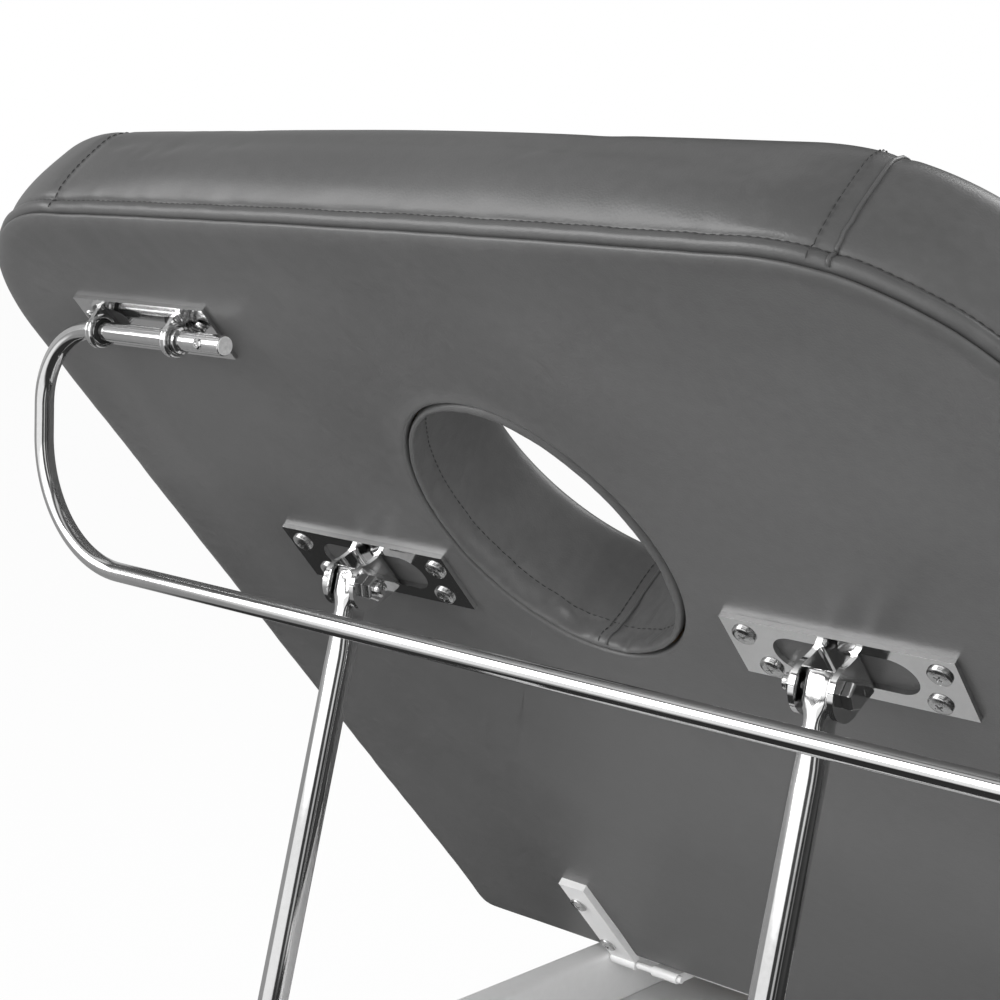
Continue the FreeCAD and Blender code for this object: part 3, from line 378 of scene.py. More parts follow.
def eased_copy(node, material, width, segments=2):
    """A merged copy of a solid with eased edges, which takes the solid's place."""
    piece = bpy.data.objects.new(node + "_finished", frame["nodes"][node].data.copy())
    bpy.context.scene.collection.objects.link(piece)
    only(piece)
    bpy.ops.object.mode_set(mode="EDIT")
    bpy.ops.mesh.select_all(action="SELECT")
    bpy.ops.mesh.remove_doubles(threshold=MERGED_WITHIN)
    bpy.ops.mesh.dissolve_limited(angle_limit=LEVEL_WITHIN)
    bpy.ops.object.mode_set(mode="OBJECT")
    if piece.data.has_custom_normals:
        bpy.ops.mesh.customdata_custom_splitnormals_clear()
    eased(piece, width, segments)
    piece.data.materials.clear()
    piece.data.materials.append(material)
    settle(piece, Matrix.Identity(4), BODY_OF[node], [node])


for board in BOARDS:
    eased_copy(board, LAMINATE, BOARD_EDGE)

# Doors, drawers and their hardware.
# Laminated fronts on the open side: two doors that turn on steel pivots at the corners, and two
# drawers on steel runners. Each has a bar handle of brushed steel screwed on from inside.
FRONTS = ("door_head", "door_foot", "drawer_lower_front", "drawer_upper_front")
BOXES = ("drawer_lower_box", "drawer_upper_box")
HANDLES = ("door_head_handle", "door_foot_handle", "drawer_lower_handle", "drawer_upper_handle")


def make_brush():
    """Fine parallel lines, drawn out by the scale of each axis, as a height."""
    group, source, sink = new_group("brush", [("Stretch", "NodeSocketVector", (1.0, 1.0, 1.0))],
                                    [("Height", "NodeSocketFloat")])
    place = add_node(group, "ShaderNodeTexCoord")
    drawn = add_node(group, "ShaderNodeVectorMath", {"operation": "MULTIPLY"},
                     links={0: place.outputs["Object"], 1: source.outputs["Stretch"]})
    lines = add_node(group, "ShaderNodeTexNoise", inputs={"Scale": 1.0, "Detail": 3.0},
                     links={"Vector": drawn.outputs[0]})
    group.links.new(lines.outputs["Fac"], sink.inputs["Height"])
    return group


BRUSH = make_brush()


def brushed_material(name, dark, light, rough, stretch, depth):
    """Metal with a drawn or brushed line."""
    material = new_material(name)
    tree = material.node_tree
    mottle = place_group(tree, MOTTLE, {"Dark": (dark, dark, dark, 1), "Light": (light, light, light, 1),
                                        "Size": 40.0, "Roughness": rough, "Spread": 0.12})
    lines = place_group(tree, BRUSH, {"Stretch": stretch})
    bump = add_node(tree, "ShaderNodeBump", inputs={"Strength": 1.0, "Distance": depth},
                    links={"Height": lines.outputs["Height"]})
    shader = add_node(tree, "ShaderNodeBsdfPrincipled", inputs={"Metallic": 1.0},
                      links={"Base Color": mottle.outputs["Color"], "Roughness": mottle.outputs["Roughness"],
                             "Normal": bump.outputs[0]})
    tree.links.new(shader.outputs[0], tree.nodes["Material Output"].inputs["Surface"])
    return material


UPRIGHT_BRUSHED = brushed_material("brushed steel, upright", 0.50, 0.60, 0.24, (3000.0, 3000.0, 40.0),
                                   0.00003)
LEVEL_BRUSHED = brushed_material("brushed steel, level", 0.50, 0.60, 0.24, (3000.0, 40.0, 3000.0), 0.00003)
ZINC = brushed_material("zinc plate", 0.46, 0.58, 0.34, (700.0, 160.0, 700.0), 0.00004)

for front in FRONTS + BOXES:
    eased_copy(front, LAMINATE, BOARD_EDGE)
for handle in HANDLES:
    eased_copy(handle, UPRIGHT_BRUSHED if handle.startswith("door") else LEVEL_BRUSHED, 0.7 * MM)
for fitting in ("door_pivots", "drawer_runners"):
    eased_copy(fitting, ZINC, 0.3 * MM)

# Rails, cross bars and hangers.
# Welded steel tube and flat bar with a white powder coat, carrying both cushions over the
# cabinet. The rails' ends are closed by moulded caps; rubber buffers take the lowered backrest.
COATED = finish_material("white powder coat", 0.84, 0.90, 4.0, 0.30, 0.10, grain=(700.0, 160.0),
                         depth=0.00006)
CAP_PLASTIC = finish_material("white moulded plastic", 0.74, 0.82, 20.0, 0.48, 0.12, grain=(2400.0, 500.0),
                              depth=0.00003)
RUBBER = finish_material("black rubber", 0.018, 0.045, 60.0, 0.62, 0.20, grain=(2600.0, 500.0), depth=0.00005)
for bar in ("rail_left", "rail_right", "body_support_bars", "lift_cross_bar", "lift_hanger_left",
            "lift_hanger_right", "lift_clevis_left", "lift_clevis_right", "hinge_cross_tube"):
    eased_copy(bar, COATED, 0.5 * MM)
eased_copy("rail_end_caps", CAP_PLASTIC, 0.7 * MM)
eased_copy("rail_buffers", RUBBER, 1.4 * MM, 3)

# The lift tubes.
# Chromed steel tubes that the lift rods slide in, closed below, each swung in a clevis by a collar
# with two stub pins. A black hand knob on the collar's head side locks the rod.
LIFT_LEAN = math.radians(13)
JOINT_AT = {joint["name"]: Vector(joint["pos_m"]) for joint in frame["joints"] if "pos_m" in joint}
CHROME = finish_material("chrome plate", 0.70, 0.80, 9.0, 0.05, 0.09, metallic=1.0, grain=(260.0, 60.0),
                         depth=0.000012)
KNOB_PLASTIC = finish_material("black moulded plastic", 0.020, 0.045, 30.0, 0.38, 0.16, grain=(1800.0, 300.0),
                               depth=0.00004)
TUBE = {"radius": 11 * MM, "bore": 8.6 * MM, "below": 445 * MM, "mouth": 18 * MM, "ease": 0.6 * MM}


def drawn_out(name, sides, start, steps):
    """A piece drawn up from a disc: each step is a rise and the half width, or two, it ends in."""
    bpy.ops.object.select_all(action="DESELECT")
    bpy.ops.mesh.primitive_circle_add(vertices=sides, radius=start, fill_type="NGON")
    piece = bpy.context.object
    piece.name = piece.data.name = name
    bpy.ops.object.mode_set(mode="EDIT")
    bpy.ops.mesh.select_all(action="SELECT")
    wide, deep, height = start, start, 0.0
    for step in steps:
        rise, next_wide, next_deep = step[0], step[1], step[-1]
        bpy.ops.mesh.extrude_region_move(TRANSFORM_OT_translate={"value": (0, 0, rise)})
        height += rise
        bpy.ops.transform.resize(value=(next_wide / wide, next_deep / deep, 1),
                                 center_override=(0, 0, height))
        wide, deep = next_wide, next_deep
    bpy.ops.mesh.select_all(action="SELECT")
    bpy.ops.mesh.normals_make_consistent(inside=False)
    bpy.ops.object.mode_set(mode="OBJECT")
    return piece


def finished(piece, material, sharp=SHARP):
    """Smooth shading up to an angle, and the piece's one material."""
    only(piece)
    bpy.ops.object.shade_smooth_by_angle(angle=sharp)
    piece.data.materials.clear()
    piece.data.materials.append(material)


def leaning(joint):
    """The frame of a lift rod or tube at one of its pins, its own Z running up along the rod."""
    return Matrix.Translation(JOINT_AT[joint]) @ Matrix.Rotation(-LIFT_LEAN, 4, "X")


for side in ("left", "right"):
    steps = [(TUBE["ease"], TUBE["radius"]),
             (TUBE["below"] + TUBE["mouth"] - 2 * TUBE["ease"], TUBE["radius"]),
             (TUBE["ease"], TUBE["radius"] - TUBE["ease"]),
             (0.0, TUBE["bore"] + TUBE["ease"]),
             (-TUBE["ease"], TUBE["bore"]),
             (-4 * TUBE["radius"], TUBE["bore"])]
    tube = drawn_out("lift_tube_skin_" + side, 48, TUBE["radius"] - TUBE["ease"], steps)
    finished(tube, CHROME)
    settle(tube, leaning("tube_%s_turn" % side) @ Matrix.Translation((0, 0, -TUBE["below"])), "tube_" + side,
           ["lift_tube_" + side])
    eased_copy("lift_collar_" + side, CHROME, 0.7 * MM)
    eased_copy("lock_knob_" + side, KNOB_PLASTIC, 1.2 * MM, 3)

# The body cushion.
# Grey vinyl leatherette over foam on a plywood board. A side band is sewn to the cover along a
# turned seam and top-stitched; the cover is stapled under the board, which lies on the rails.
HALF_WIDTH = 304 * MM
CUSHION_THICK = 74 * MM
CROWN = 5 * MM
ROLL = 26 * MM
NEAR_CORNER = 8 * MM
END_BOW = 2 * MM
EDGE_SWELL = 1.4 * MM
FAR_TRIM = 2.3 * MM
NEAR_TRIM = 3.2 * MM
CROWN_SAG = (2.0 * MM, 5.4 * MM)
BODY_LENGTH = 1144 * MM
HINGE_TO_BODY = 55 * MM
AROUND = 560
BAND = ((0.7, -4.2), (0.9, -2.2), (1.6, -0.6), (3.0, 0.7), (4.6, 1.0), (6.2, 0.5), (7.3, -0.4), (7.9, -1.1),
        (8.5, -0.6), (9.8, 0.4), (12.0, 1.2), (16.0, 2.0), (21.0, 2.5), (27.0, 2.7), (33.0, 2.5), (39.0, 2.0),
        (44.0, 1.5), (48.0, 1.0))
STITCH_RING = 7
STITCH_PITCH = 3.9 * MM
STITCH_LONG = 2.9 * MM
STITCH_THICK = 0.32 * MM
ROLL_RINGS = 8
TOP_RINGS = 13
CLOTH = {"quality": 5, "mass": 0.3, "tension_stiffness": 25, "compression_stiffness": 25,
         "shear_stiffness": 15, "bending_stiffness": 2.0, "use_pressure": True,
         "uniform_pressure_force": 4.0, "vertex_group_mass": "seams"}
CLOTH_FRAMES = 20
FILL_OUT = 7 * MM
DRAW_IN = 0.12
CROWN_REACHED = 1.6
BODY_CORNERS = (104 * MM, 104 * MM)
BODY_SPINE = (0.06, 0.35)
TURNED_UNDER = (20 * MM, 2 * MM)
PUCKERS = ((60, 0.4, 1.0), (150, 1.7, 0.8))
SEAM_PUCKER = (0.12, 0.45)
LEATHER = finish_material("grey leatherette", 0.085, 0.112, 5.0, 0.34, 0.10, grain=(1100.0, 90.0),
                          depth=0.00012)
THREAD = finish_material("sewing thread", 0.030, 0.055, 300.0, 0.6, 0.2)
PLYWOOD_STRETCH = (260.0, 9.0, 260.0)


def edge_loop(length, toward, corners):
    """Points along the cushion's outline, evenly spaced, each with the direction that faces out."""
    half, far = HALF_WIDTH, toward * length
    near_x, near_y = half - NEAR_CORNER, toward * NEAR_CORNER
    right, left = corners
    right_y, left_y = far - toward * right, far - toward * left
    runs = [("line", Vector((half, near_y)), Vector((half, right_y)), Vector((1, 0))),
            ("arc", Vector((half - right, right_y)), right, 0, 90),
            ("line", Vector((half - right, far)), Vector((left - half, far)), Vector((0, 1))),
            ("arc", Vector((left - half, left_y)), left, 90, 180),
            ("line", Vector((-half, left_y)), Vector((-half, near_y)), Vector((-1, 0))),
            ("arc", Vector((-near_x, near_y)), NEAR_CORNER, 180, 270),
            ("line", Vector((-near_x, 0)), Vector((near_x, 0)), Vector((0, -1))),
            ("arc", Vector((near_x, near_y)), NEAR_CORNER, 270, 360)]
    lengths = [(run[2] - run[1]).length if run[0] == "line" else run[2] * math.radians(run[4] - run[3])
               for run in runs]
    total, far_middle = sum(lengths), lengths[0] + lengths[1] + lengths[2] / 2
    loop = []
    for i in range(AROUND):
        travel = (far_middle + total * i / AROUND) % total
        for run, size in zip(runs, lengths):
            if travel <= size:
                break
            travel -= size
        share = travel / size
        if run[0] == "line":
            point, out = run[1].lerp(run[2], share), run[3].copy()
            if out.y > 0.5:
                point.y += toward * END_BOW * math.sin(math.pi * share)
        else:
            angle = math.radians(run[3] + (run[4] - run[3]) * share)
            out = Vector((math.cos(angle), math.sin(angle)))
            point = run[1] + Vector((out.x, out.y * toward)) * run[2]
        swell = EDGE_SWELL - (FAR_TRIM if out.y > 0 else NEAR_TRIM) * out.y ** 2
        out = Vector((out.x, out.y * toward))
        loop.append((point + out * swell, out))
    return loop


def squares(first, rings, around):
    """Faces between successive rings of points, which are numbered on from the first."""
    faces = []
    for low in range(first, first + (rings - 1) * around, around):
        for i in range(around):
            j = (i + 1) % around
            faces.append((low + i, low + j, low + around + j, low + around + i))
    return faces


def new_skin(name, points, faces):
    """A smooth piece from its points and faces."""
    mesh = bpy.data.meshes.new(name)
    mesh.from_pydata([tuple(p) for p in points], [], faces)
    mesh.polygons.foreach_set("use_smooth", [True] * len(mesh.polygons))
    mesh.update()
    piece = bpy.data.objects.new(name, mesh)
    bpy.context.scene.collection.objects.link(piece)
    return piece


def ring_mesh(name, rings, closed_start=False, closed_end=False):
    """A skin of squares through rings of points; a closed end is bridged from side to side."""
    count = len(rings[0])
    faces = squares(0, len(rings), count)
    for closed, first in ((closed_start, 0), (closed_end, (len(rings) - 1) * count)):
        if closed:
            last = first + count
            faces += [(first + i, first + i + 1, last - i - 1, last - i) for i in range(1, count // 2 - 1)]
            far = last - count // 2
            faces += [(first, first + 1, last - 1), (far - 1, far, far + 1)]
    piece = new_skin(name, [point for ring in rings for point in ring], faces)
    work = bmesh.new()
    work.from_mesh(piece.data)
    bmesh.ops.recalc_face_normals(work, faces=work.faces)
    work.faces.ensure_lookup_table()
    middle = sum((p for ring in rings for p in ring), Vector()) / (len(rings) * count)
    facing = sum((face.calc_center_median() - middle).dot(face.normal) * face.calc_area()
                 for face in work.faces)
    if facing < 0:
        bmesh.ops.reverse_faces(work, faces=work.faces)
    work.to_mesh(piece.data)
    work.free()
    return piece


def pucker(point, strength):
    """A small in-and-out of the cloth along a seam, the same from one side of it to the other."""
    return strength * sum(share * noise.noise(Vector((point.x * size, point.y * size, level)))
                          for size, level, share in PUCKERS)


def cushion_rings(base, middle, dip):
    """Rings from the seam at the back, up the band, over the rolled edge and across the top."""
    band_top, swell = BAND[-1][0] * MM, BAND[-1][1] * MM

    def sag(p):
        return CROWN_SAG[0] - CROWN_SAG[1] * min(1.0, (p.x / HALF_WIDTH) ** 2)

    def ring(inset, height, loose=0.0):
        return [Vector((p.x - out.x * inset, p.y - out.y * inset, height + sag(p) * height / CUSHION_THICK))
                + Vector((out.x, out.y, 0)) * pucker(p, loose) for p, out in base]

    rings = []
    for height, push in BAND:
        near_row = math.exp(-((height - BAND[STITCH_RING][0]) / 5) ** 2)
        rings.append(ring(-push * MM, height * MM, (SEAM_PUCKER[0] + SEAM_PUCKER[1] * near_row) * MM))
    for i in range(1, ROLL_RINGS + 1):
        angle = math.pi / 2 * i / ROLL_RINGS
        rings.append(ring(ROLL * (1 - math.cos(angle)) - swell * math.cos(angle),
                          band_top + ROLL * math.sin(angle)))
    rim = ring(ROLL, CUSHION_THICK)
    for i in range(1, TOP_RINGS + 1):
        share = i / TOP_RINGS
        height = CROWN * math.sin(math.pi / 2 * min(1.0, share * CROWN_REACHED))
        height -= dip * max(0.0, (share - 0.5) / 0.5) ** 2
        rings.append([p.lerp(q, share) + Vector((0, 0, height)) for p, q in zip(rim, middle)])
    return rings


def oval_points(base, centre, half, height, flatter=0.0):
    """Points on an oval, each in the direction of its partner on the outline."""
    points = []
    for p, out in base:
        angle = math.atan2((p.y - centre.y) / half[1], (p.x - centre.x) / half[0])
        less = flatter * max(0.0, math.cos(angle - HOLE_FLAT_AT)) ** 2
        points.append(Vector((centre.x + (half[0] - less) * math.cos(angle),
                              centre.y + (half[1] - less) * math.sin(angle), height)))
    return points


def puff(piece, pinned_rings):
    """Cloth under a little pressure, held at the seams. It fills out; it draws in only slightly."""
    start = [(v.co.copy(), v.normal.copy()) for v in piece.data.vertices]
    held = piece.vertex_groups.new(name="seams")
    for k in pinned_rings:
        held.add(list(range(k * AROUND, (k + 1) * AROUND)), 1.0, "REPLACE")
    cloth = piece.modifiers.new("cloth", "CLOTH")
    for name, value in CLOTH.items():
        setattr(cloth.settings, name, value)
    cloth.settings.effector_weights.gravity = 0
    cloth.point_cache.frame_end = CLOTH_FRAMES
    for step in range(1, CLOTH_FRAMES + 1):
        bpy.context.scene.frame_set(step)
    only(piece)
    bpy.ops.object.modifier_apply(modifier="cloth")
    bpy.context.scene.frame_set(1)
    for vertex, (old, out) in zip(piece.data.vertices, start):
        rise = (vertex.co - old).dot(out)
        vertex.co = old + out * min(FILL_OUT, rise if rise > 0 else rise * DRAW_IN)


def smoothed(piece):
    """Divides the skin once. The points of its rings stay first, in their order."""
    only(piece)
    finer = piece.modifiers.new("finer", "SUBSURF")
    finer.levels = finer.render_levels = 1
    bpy.ops.object.modifier_apply(modifier="finer")


def stitches(name, path, facing, closed=True):
    """Separate thread stitches lying along a path, each a small bent capsule."""
    sides, bows = 6, (0.0, 0.25, 0.5, 0.75, 1.0)
    points, faces = [], []
    run = path + [path[0]] if closed else path
    looks = facing + [facing[0]] if closed else facing
    travel, mark = 0.0, STITCH_PITCH / 2
    for a, b, out_a, out_b in zip(run, run[1:], looks, looks[1:]):
        size = (b - a).length
        while mark < travel + size:
            share = (mark - travel) / size
            centre = a.lerp(b, share)
            out = out_a.lerp(out_b, share).normalized()
            ahead = (b - a).normalized()
            side = out.cross(ahead).normalized()
            first = len(points)
            for bow in bows:
                swell = math.sin(math.pi * (0.12 + 0.76 * bow))
                spot = centre + ahead * STITCH_LONG * (bow - 0.5) + out * STITCH_THICK * (swell - 0.55)
                for k in range(sides):
                    angle = 2 * math.pi * k / sides
                    points.append(spot + (side * math.cos(angle) + out * math.sin(angle))
                                  * STITCH_THICK * swell)
            faces += squares(first, len(bows), sides)
            faces.append(tuple(first + i for i in reversed(range(sides))))
            faces.append(tuple(first + (len(bows) - 1) * sides + i for i in range(sides)))
            mark += STITCH_PITCH
        travel += size
    piece = new_skin(name, points, faces)
    piece.data.materials.append(THREAD)
    return piece


def ring_of(piece, ring):
    """Places and outward directions of one ring of a skin."""
    spots = [piece.data.vertices[ring * AROUND + i] for i in range(AROUND)]
    return [v.co.copy() for v in spots], [v.normal.copy() for v in spots]


def plywood_material():
    """Bare birch plywood: long grain lines over a pale ground."""
    material = new_material("birch plywood")
    tree = material.node_tree
    lines = place_group(tree, BRUSH, {"Stretch": PLYWOOD_STRETCH})
    ramp = add_node(tree, "ShaderNodeValToRGB", links={0: lines.outputs["Height"]})
    ramp.color_ramp.elements[0].position, ramp.color_ramp.elements[1].position = 0.35, 0.65
    ramp.color_ramp.elements[0].color = (0.42, 0.29, 0.17, 1)
    ramp.color_ramp.elements[1].color = (0.64, 0.49, 0.32, 1)
    bump = add_node(tree, "ShaderNodeBump", inputs={"Strength": 1.0, "Distance": 0.00008},
                    links={"Height": lines.outputs["Height"]})
    shader = add_node(tree, "ShaderNodeBsdfPrincipled", inputs={"Roughness": 0.6},
                      links={"Base Color": ramp.outputs[0], "Normal": bump.outputs[0]})
    tree.links.new(shader.outputs[0], tree.nodes["Material Output"].inputs["Surface"])
    return material


def body_cushion():
    """One closed skin, turned in under the foam, with a row of stitches over its seam."""
    base = edge_loop(BODY_LENGTH, 1, BODY_CORNERS)
    middle = BODY_LENGTH / 2
    spine = [Vector((p.x * BODY_SPINE[0], middle + (p.y - middle) * BODY_SPINE[1], CUSHION_THICK))
             for p, out in base]
    inset, height = TURNED_UNDER
    rings = [[Vector((p.x - out.x * inset, p.y - out.y * inset, height)) for p, out in base]]
    rings += cushion_rings(base, spine, 0.0)
    piece = ring_mesh("body_cushion_skin", rings, closed_start=True, closed_end=True)
    puff(piece, (0, 1, 2, STITCH_RING + 1))
    smoothed(piece)
    path, facing = ring_of(piece, STITCH_RING + 1)
    row = stitches("body_band_stitches", path, facing)
    piece.data.materials.append(LEATHER)
    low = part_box("body_board")[0]
    place = Matrix.Translation((0, JOINT_AT["backrest_tilt"].y + HINGE_TO_BODY, low.z))
    settle(piece, place, "base", ["body_cushion"])
    settle(row, place, "base")


PLYWOOD = plywood_material()
body_cushion()
eased_copy("body_board", PLYWOOD, 0.6 * MM)
eased_copy("backrest_board", PLYWOOD, 0.6 * MM)

# The backrest's hinge.
# White flat-bar arms screwed to the underside turn on steel pins between lugs and rails.
HINGE = JOINT_AT["backrest_tilt"]
RECLINE = math.radians(46.7)
HINGE_TO_EDGE = -2.0 * MM
HINGE_TO_BACK = 4.0 * MM
BACKREST = (Matrix.Translation(HINGE) @ Matrix.Rotation(-RECLINE, 4, "X")
            @ Matrix.Translation((0, HINGE_TO_EDGE, HINGE_TO_BACK)))
for arm in ("hinge_arm_left", "hinge_arm_right"):
    eased_copy(arm, COATED, 0.4 * MM)
eased_copy("hinge_pins", COATED, 0.3 * MM)

# The backrest's cushion.
# Made as the body cushion is, with an oval hole for the face. The side band is joined by upright
# seams near the corners, and the loose leather creases a little beside the hinge.
BACKREST_LENGTH = 676 * MM
BACKREST_CORNERS = (117 * MM, 90 * MM)
HOLE_PLACE = Vector((0, -480 * MM, 0))
HOLE_HALF = (73 * MM, 91 * MM)
HOLE_FLARE = 10 * MM
HOLE_DIP = 7.5 * MM
HOLE_FLAT_AT = math.radians(-32)
HOLE_FLAT = 5.0 * MM
UPRIGHT_SEAMS = ((-214 * MM, None), (222 * MM, -8 * MM))
SEAM_SINK = 1.2 * MM
WELT_RADIUS = 0.85 * MM
WELT_SIDES = 8
CORNER_CREASE = 2.4 * MM
CREASED_WITHIN = 45 * MM


def nearest_far(base, across, length):
    """The place on the outline's far end that lies nearest to a distance across."""
    return min((i for i in range(AROUND) if base[i][0].y < -length / 2),
               key=lambda i: abs(base[i][0].x - across))


def creased(p):
    """How far the loose leather stands off at the outline's corners by the hinge."""
    near = math.exp(-((abs(p.x) - HALF_WIDTH) ** 2 + p.y ** 2) / CREASED_WITHIN ** 2)
    return CORNER_CREASE * near * (noise.noise(Vector((p.x * 45, p.y * 45, 6.2))) + 1.2)


def backrest_outline():
    """The cushion's outline with its creased corners; the underside's sheet has the same one."""
    return [(p + Vector((out.x, 0.3 * out.y)) * creased(p), out)
            for p, out in edge_loop(BACKREST_LENGTH, -1, BACKREST_CORNERS)]


def welt(name, path, facing):
    """A thin raised fold that runs along a seam."""
    points = []
    for k, (spot, out) in enumerate(zip(path, facing)):
        ahead = (path[min(k + 1, len(path) - 1)] - path[max(k - 1, 0)]).normalized()
        side = out.cross(ahead).normalized()
        sway = noise.noise(Vector((k * 2.3, 0.5, 2.0))) * WELT_RADIUS * 0.9
        for i in range(WELT_SIDES):
            angle = 2 * math.pi * i / WELT_SIDES
            points.append(spot + side * (math.cos(angle) * WELT_RADIUS + sway)
                          + out * math.sin(angle) * WELT_RADIUS)
    last = (len(path) - 1) * WELT_SIDES
    faces = squares(0, len(path), WELT_SIDES)
    faces += [tuple(reversed(range(WELT_SIDES))), tuple(range(last, last + WELT_SIDES))]
    piece = new_skin(name, points, faces)
    piece.data.materials.append(LEATHER)
    return piece


def backrest_cushion():
    """Top and band in one skin, sunk at the upright seams; its seams get stitches and a welt."""
    base = backrest_outline()
    flare = (HOLE_HALF[0] + HOLE_FLARE, HOLE_HALF[1] + HOLE_FLARE)
    rings = cushion_rings(base, oval_points(base, HOLE_PLACE, flare, CUSHION_THICK), HOLE_DIP)
    for across, row in UPRIGHT_SEAMS:
        i = nearest_far(base, across, BACKREST_LENGTH)
        for ring in rings[2:len(BAND) + ROLL_RINGS]:
            ring[i] -= Vector((base[i][1].x, base[i][1].y, 0)) * SEAM_SINK
    piece = ring_mesh("backrest_cushion_skin", rings)
    puff(piece, (0, 1, STITCH_RING, len(rings) - 1))
    smoothed(piece)
    path, facing = ring_of(piece, STITCH_RING)
    rows = [stitches("backrest_band_stitches", path, facing)]
    for across, row in UPRIGHT_SEAMS:
        side = "left" if across < 0 else "right"
        i = nearest_far(base, across, BACKREST_LENGTH)
        spots = [piece.data.vertices[k * AROUND + i] for k in range(2, len(BAND) + ROLL_RINGS - 1)]
        along = Vector((-base[i][1].y, base[i][1].x, 0))
        path, facing = [v.co + v.normal * SEAM_SINK * 0.3 for v in spots], [v.normal.copy() for v in spots]
        if row is None:
            rows.append(stitches("backrest_upright_stitches_" + side, path, facing, closed=False))
        else:
            rows.append(welt("backrest_upright_welt_" + side, path, facing))
            beside = [p + along * row + out * SEAM_SINK * 0.5 for p, out in zip(path, facing)]
            rows.append(stitches("backrest_upright_stitches_" + side, beside, facing, closed=False))
    piece.data.materials.append(LEATHER)
    settle(piece, BACKREST, "backrest", ["backrest_cushion"])
    for row in rows:
        settle(row, BACKREST, "backrest")


backrest_cushion()

# The backrest's underside.
# A sheet of the same leatherette closes the cushion's back over the board. It is full along the
# seam, flat further in, and turned into the face hole.
PANEL = ((4.4, -0.7), (2.6, -0.2), (1.7, 0.8), (2.4, 1.9), (4.4, 2.8), (7.5, 3.2), (11.5, 2.9), (17.0, 2.1),
         (25.0, 1.1), (36.0, 0.4))
PANEL_STEPS = 24
PANEL_RIM = 2.2
PANEL_TURN = ((1.0, -1.5), (0.1, -0.8), (-0.4, 0.6), (-0.6, 3.0))
PANEL_PUCKER = 0.30 * MM
PANEL_DRIFT = 0.45
FLATTER = (0.15, 170 * MM)


def fullness(p):
    """How far the border may stand out: little by the hinge, where it comes down on the rails."""
    return FLATTER[0] + (1 - FLATTER[0]) * min(1.0, max(0.0, -p.y / FLATTER[1]))


def hole_ring(base, grow, height):
    """An oval a little wider than the face hole, in step with the outline."""
    half = (HOLE_HALF[0] + grow * MM, HOLE_HALF[1] + grow * MM)
    return oval_points(base, HOLE_PLACE, half, height * MM, HOLE_FLAT)


def backrest_panel():
    """Rings in from the seam, then across to the hole's rim with a slow drift, and round it."""
    base = backrest_outline()
    rings = []
    for inset, drop in PANEL:
        rings.append([Vector((p.x - out.x * inset * MM, p.y - out.y * inset * MM,
                              (-drop * MM + pucker(p, PANEL_PUCKER)) * fullness(p))) for p, out in base])
    last = rings[-1]
    rim = hole_ring(base, PANEL_RIM, 0)
    for i in range(1, PANEL_STEPS + 1):
        share = i / PANEL_STEPS
        ring = [p.lerp(q, share) for p, q in zip(last, rim)]
        for point in ring:
            drift = noise.noise(Vector((point.x * 9, point.y * 9, 0.3))) * PANEL_DRIFT
            point.z = -(0.2 * (1 - share) + drift * (1 - share ** 6) + 1.2 * share ** 30) * MM
        rings.append(ring)
    rings += [hole_ring(base, grow, height) for grow, height in PANEL_TURN]
    piece = ring_mesh("backrest_back_panel", rings)
    smoothed(piece)
    piece.data.materials.append(LEATHER)
    settle(piece, BACKREST, "backrest", ["backrest_back_cover"])


backrest_panel()

# The face hole's lining.
# A sleeve of the same leatherette round the hole, rolled over at the back and loose behind the rim.
# It has a row of stitches round it and two upright seams, one stitched and one folded.
SLEEVE_AROUND = 256
SLEEVE = ((-1.0, 4.0, 0.0), (-1.3, 1.4, 0.1), (-2.0, -0.4, 0.3), (-3.2, -1.2, 0.5), (-4.6, -0.6, 0.8),
          (-4.9, 2.0, 1.0), (-3.8, 6.0, 1.2), (-3.0, 9.5, 1.3), (-2.7, 12.5, 1.1), (-3.1, 14.5, 0.8),
          (-2.7, 16.5, 1.0), (-2.2, 21.0, 1.2), (-1.9, 28.0, 1.0), (-1.3, 36.0, 0.9), (-0.4, 45.0, 0.7),
          (0.7, 54.0, 0.5), (1.8, 61.0, 0.3), (3.0, 66.0, 0.2), (5.2, 69.2, 0.1), (8.8, 70.6, 0.0),
          (12.0, 71.6, 0.0))
SLEEVE_STITCH_RING = 9
SLEEVE_LIP = 4.0
SLEEVE_LIP_REACH = 9
SLEEVE_SAG = 1.6
SLEEVE_FLAT_REACH = 30
SLEEVE_CRUMPLE = 1.3
SLEEVE_SEAMS = (1.728, 1.650)
SLEEVE_SEAM_RISE = 0.2 * MM


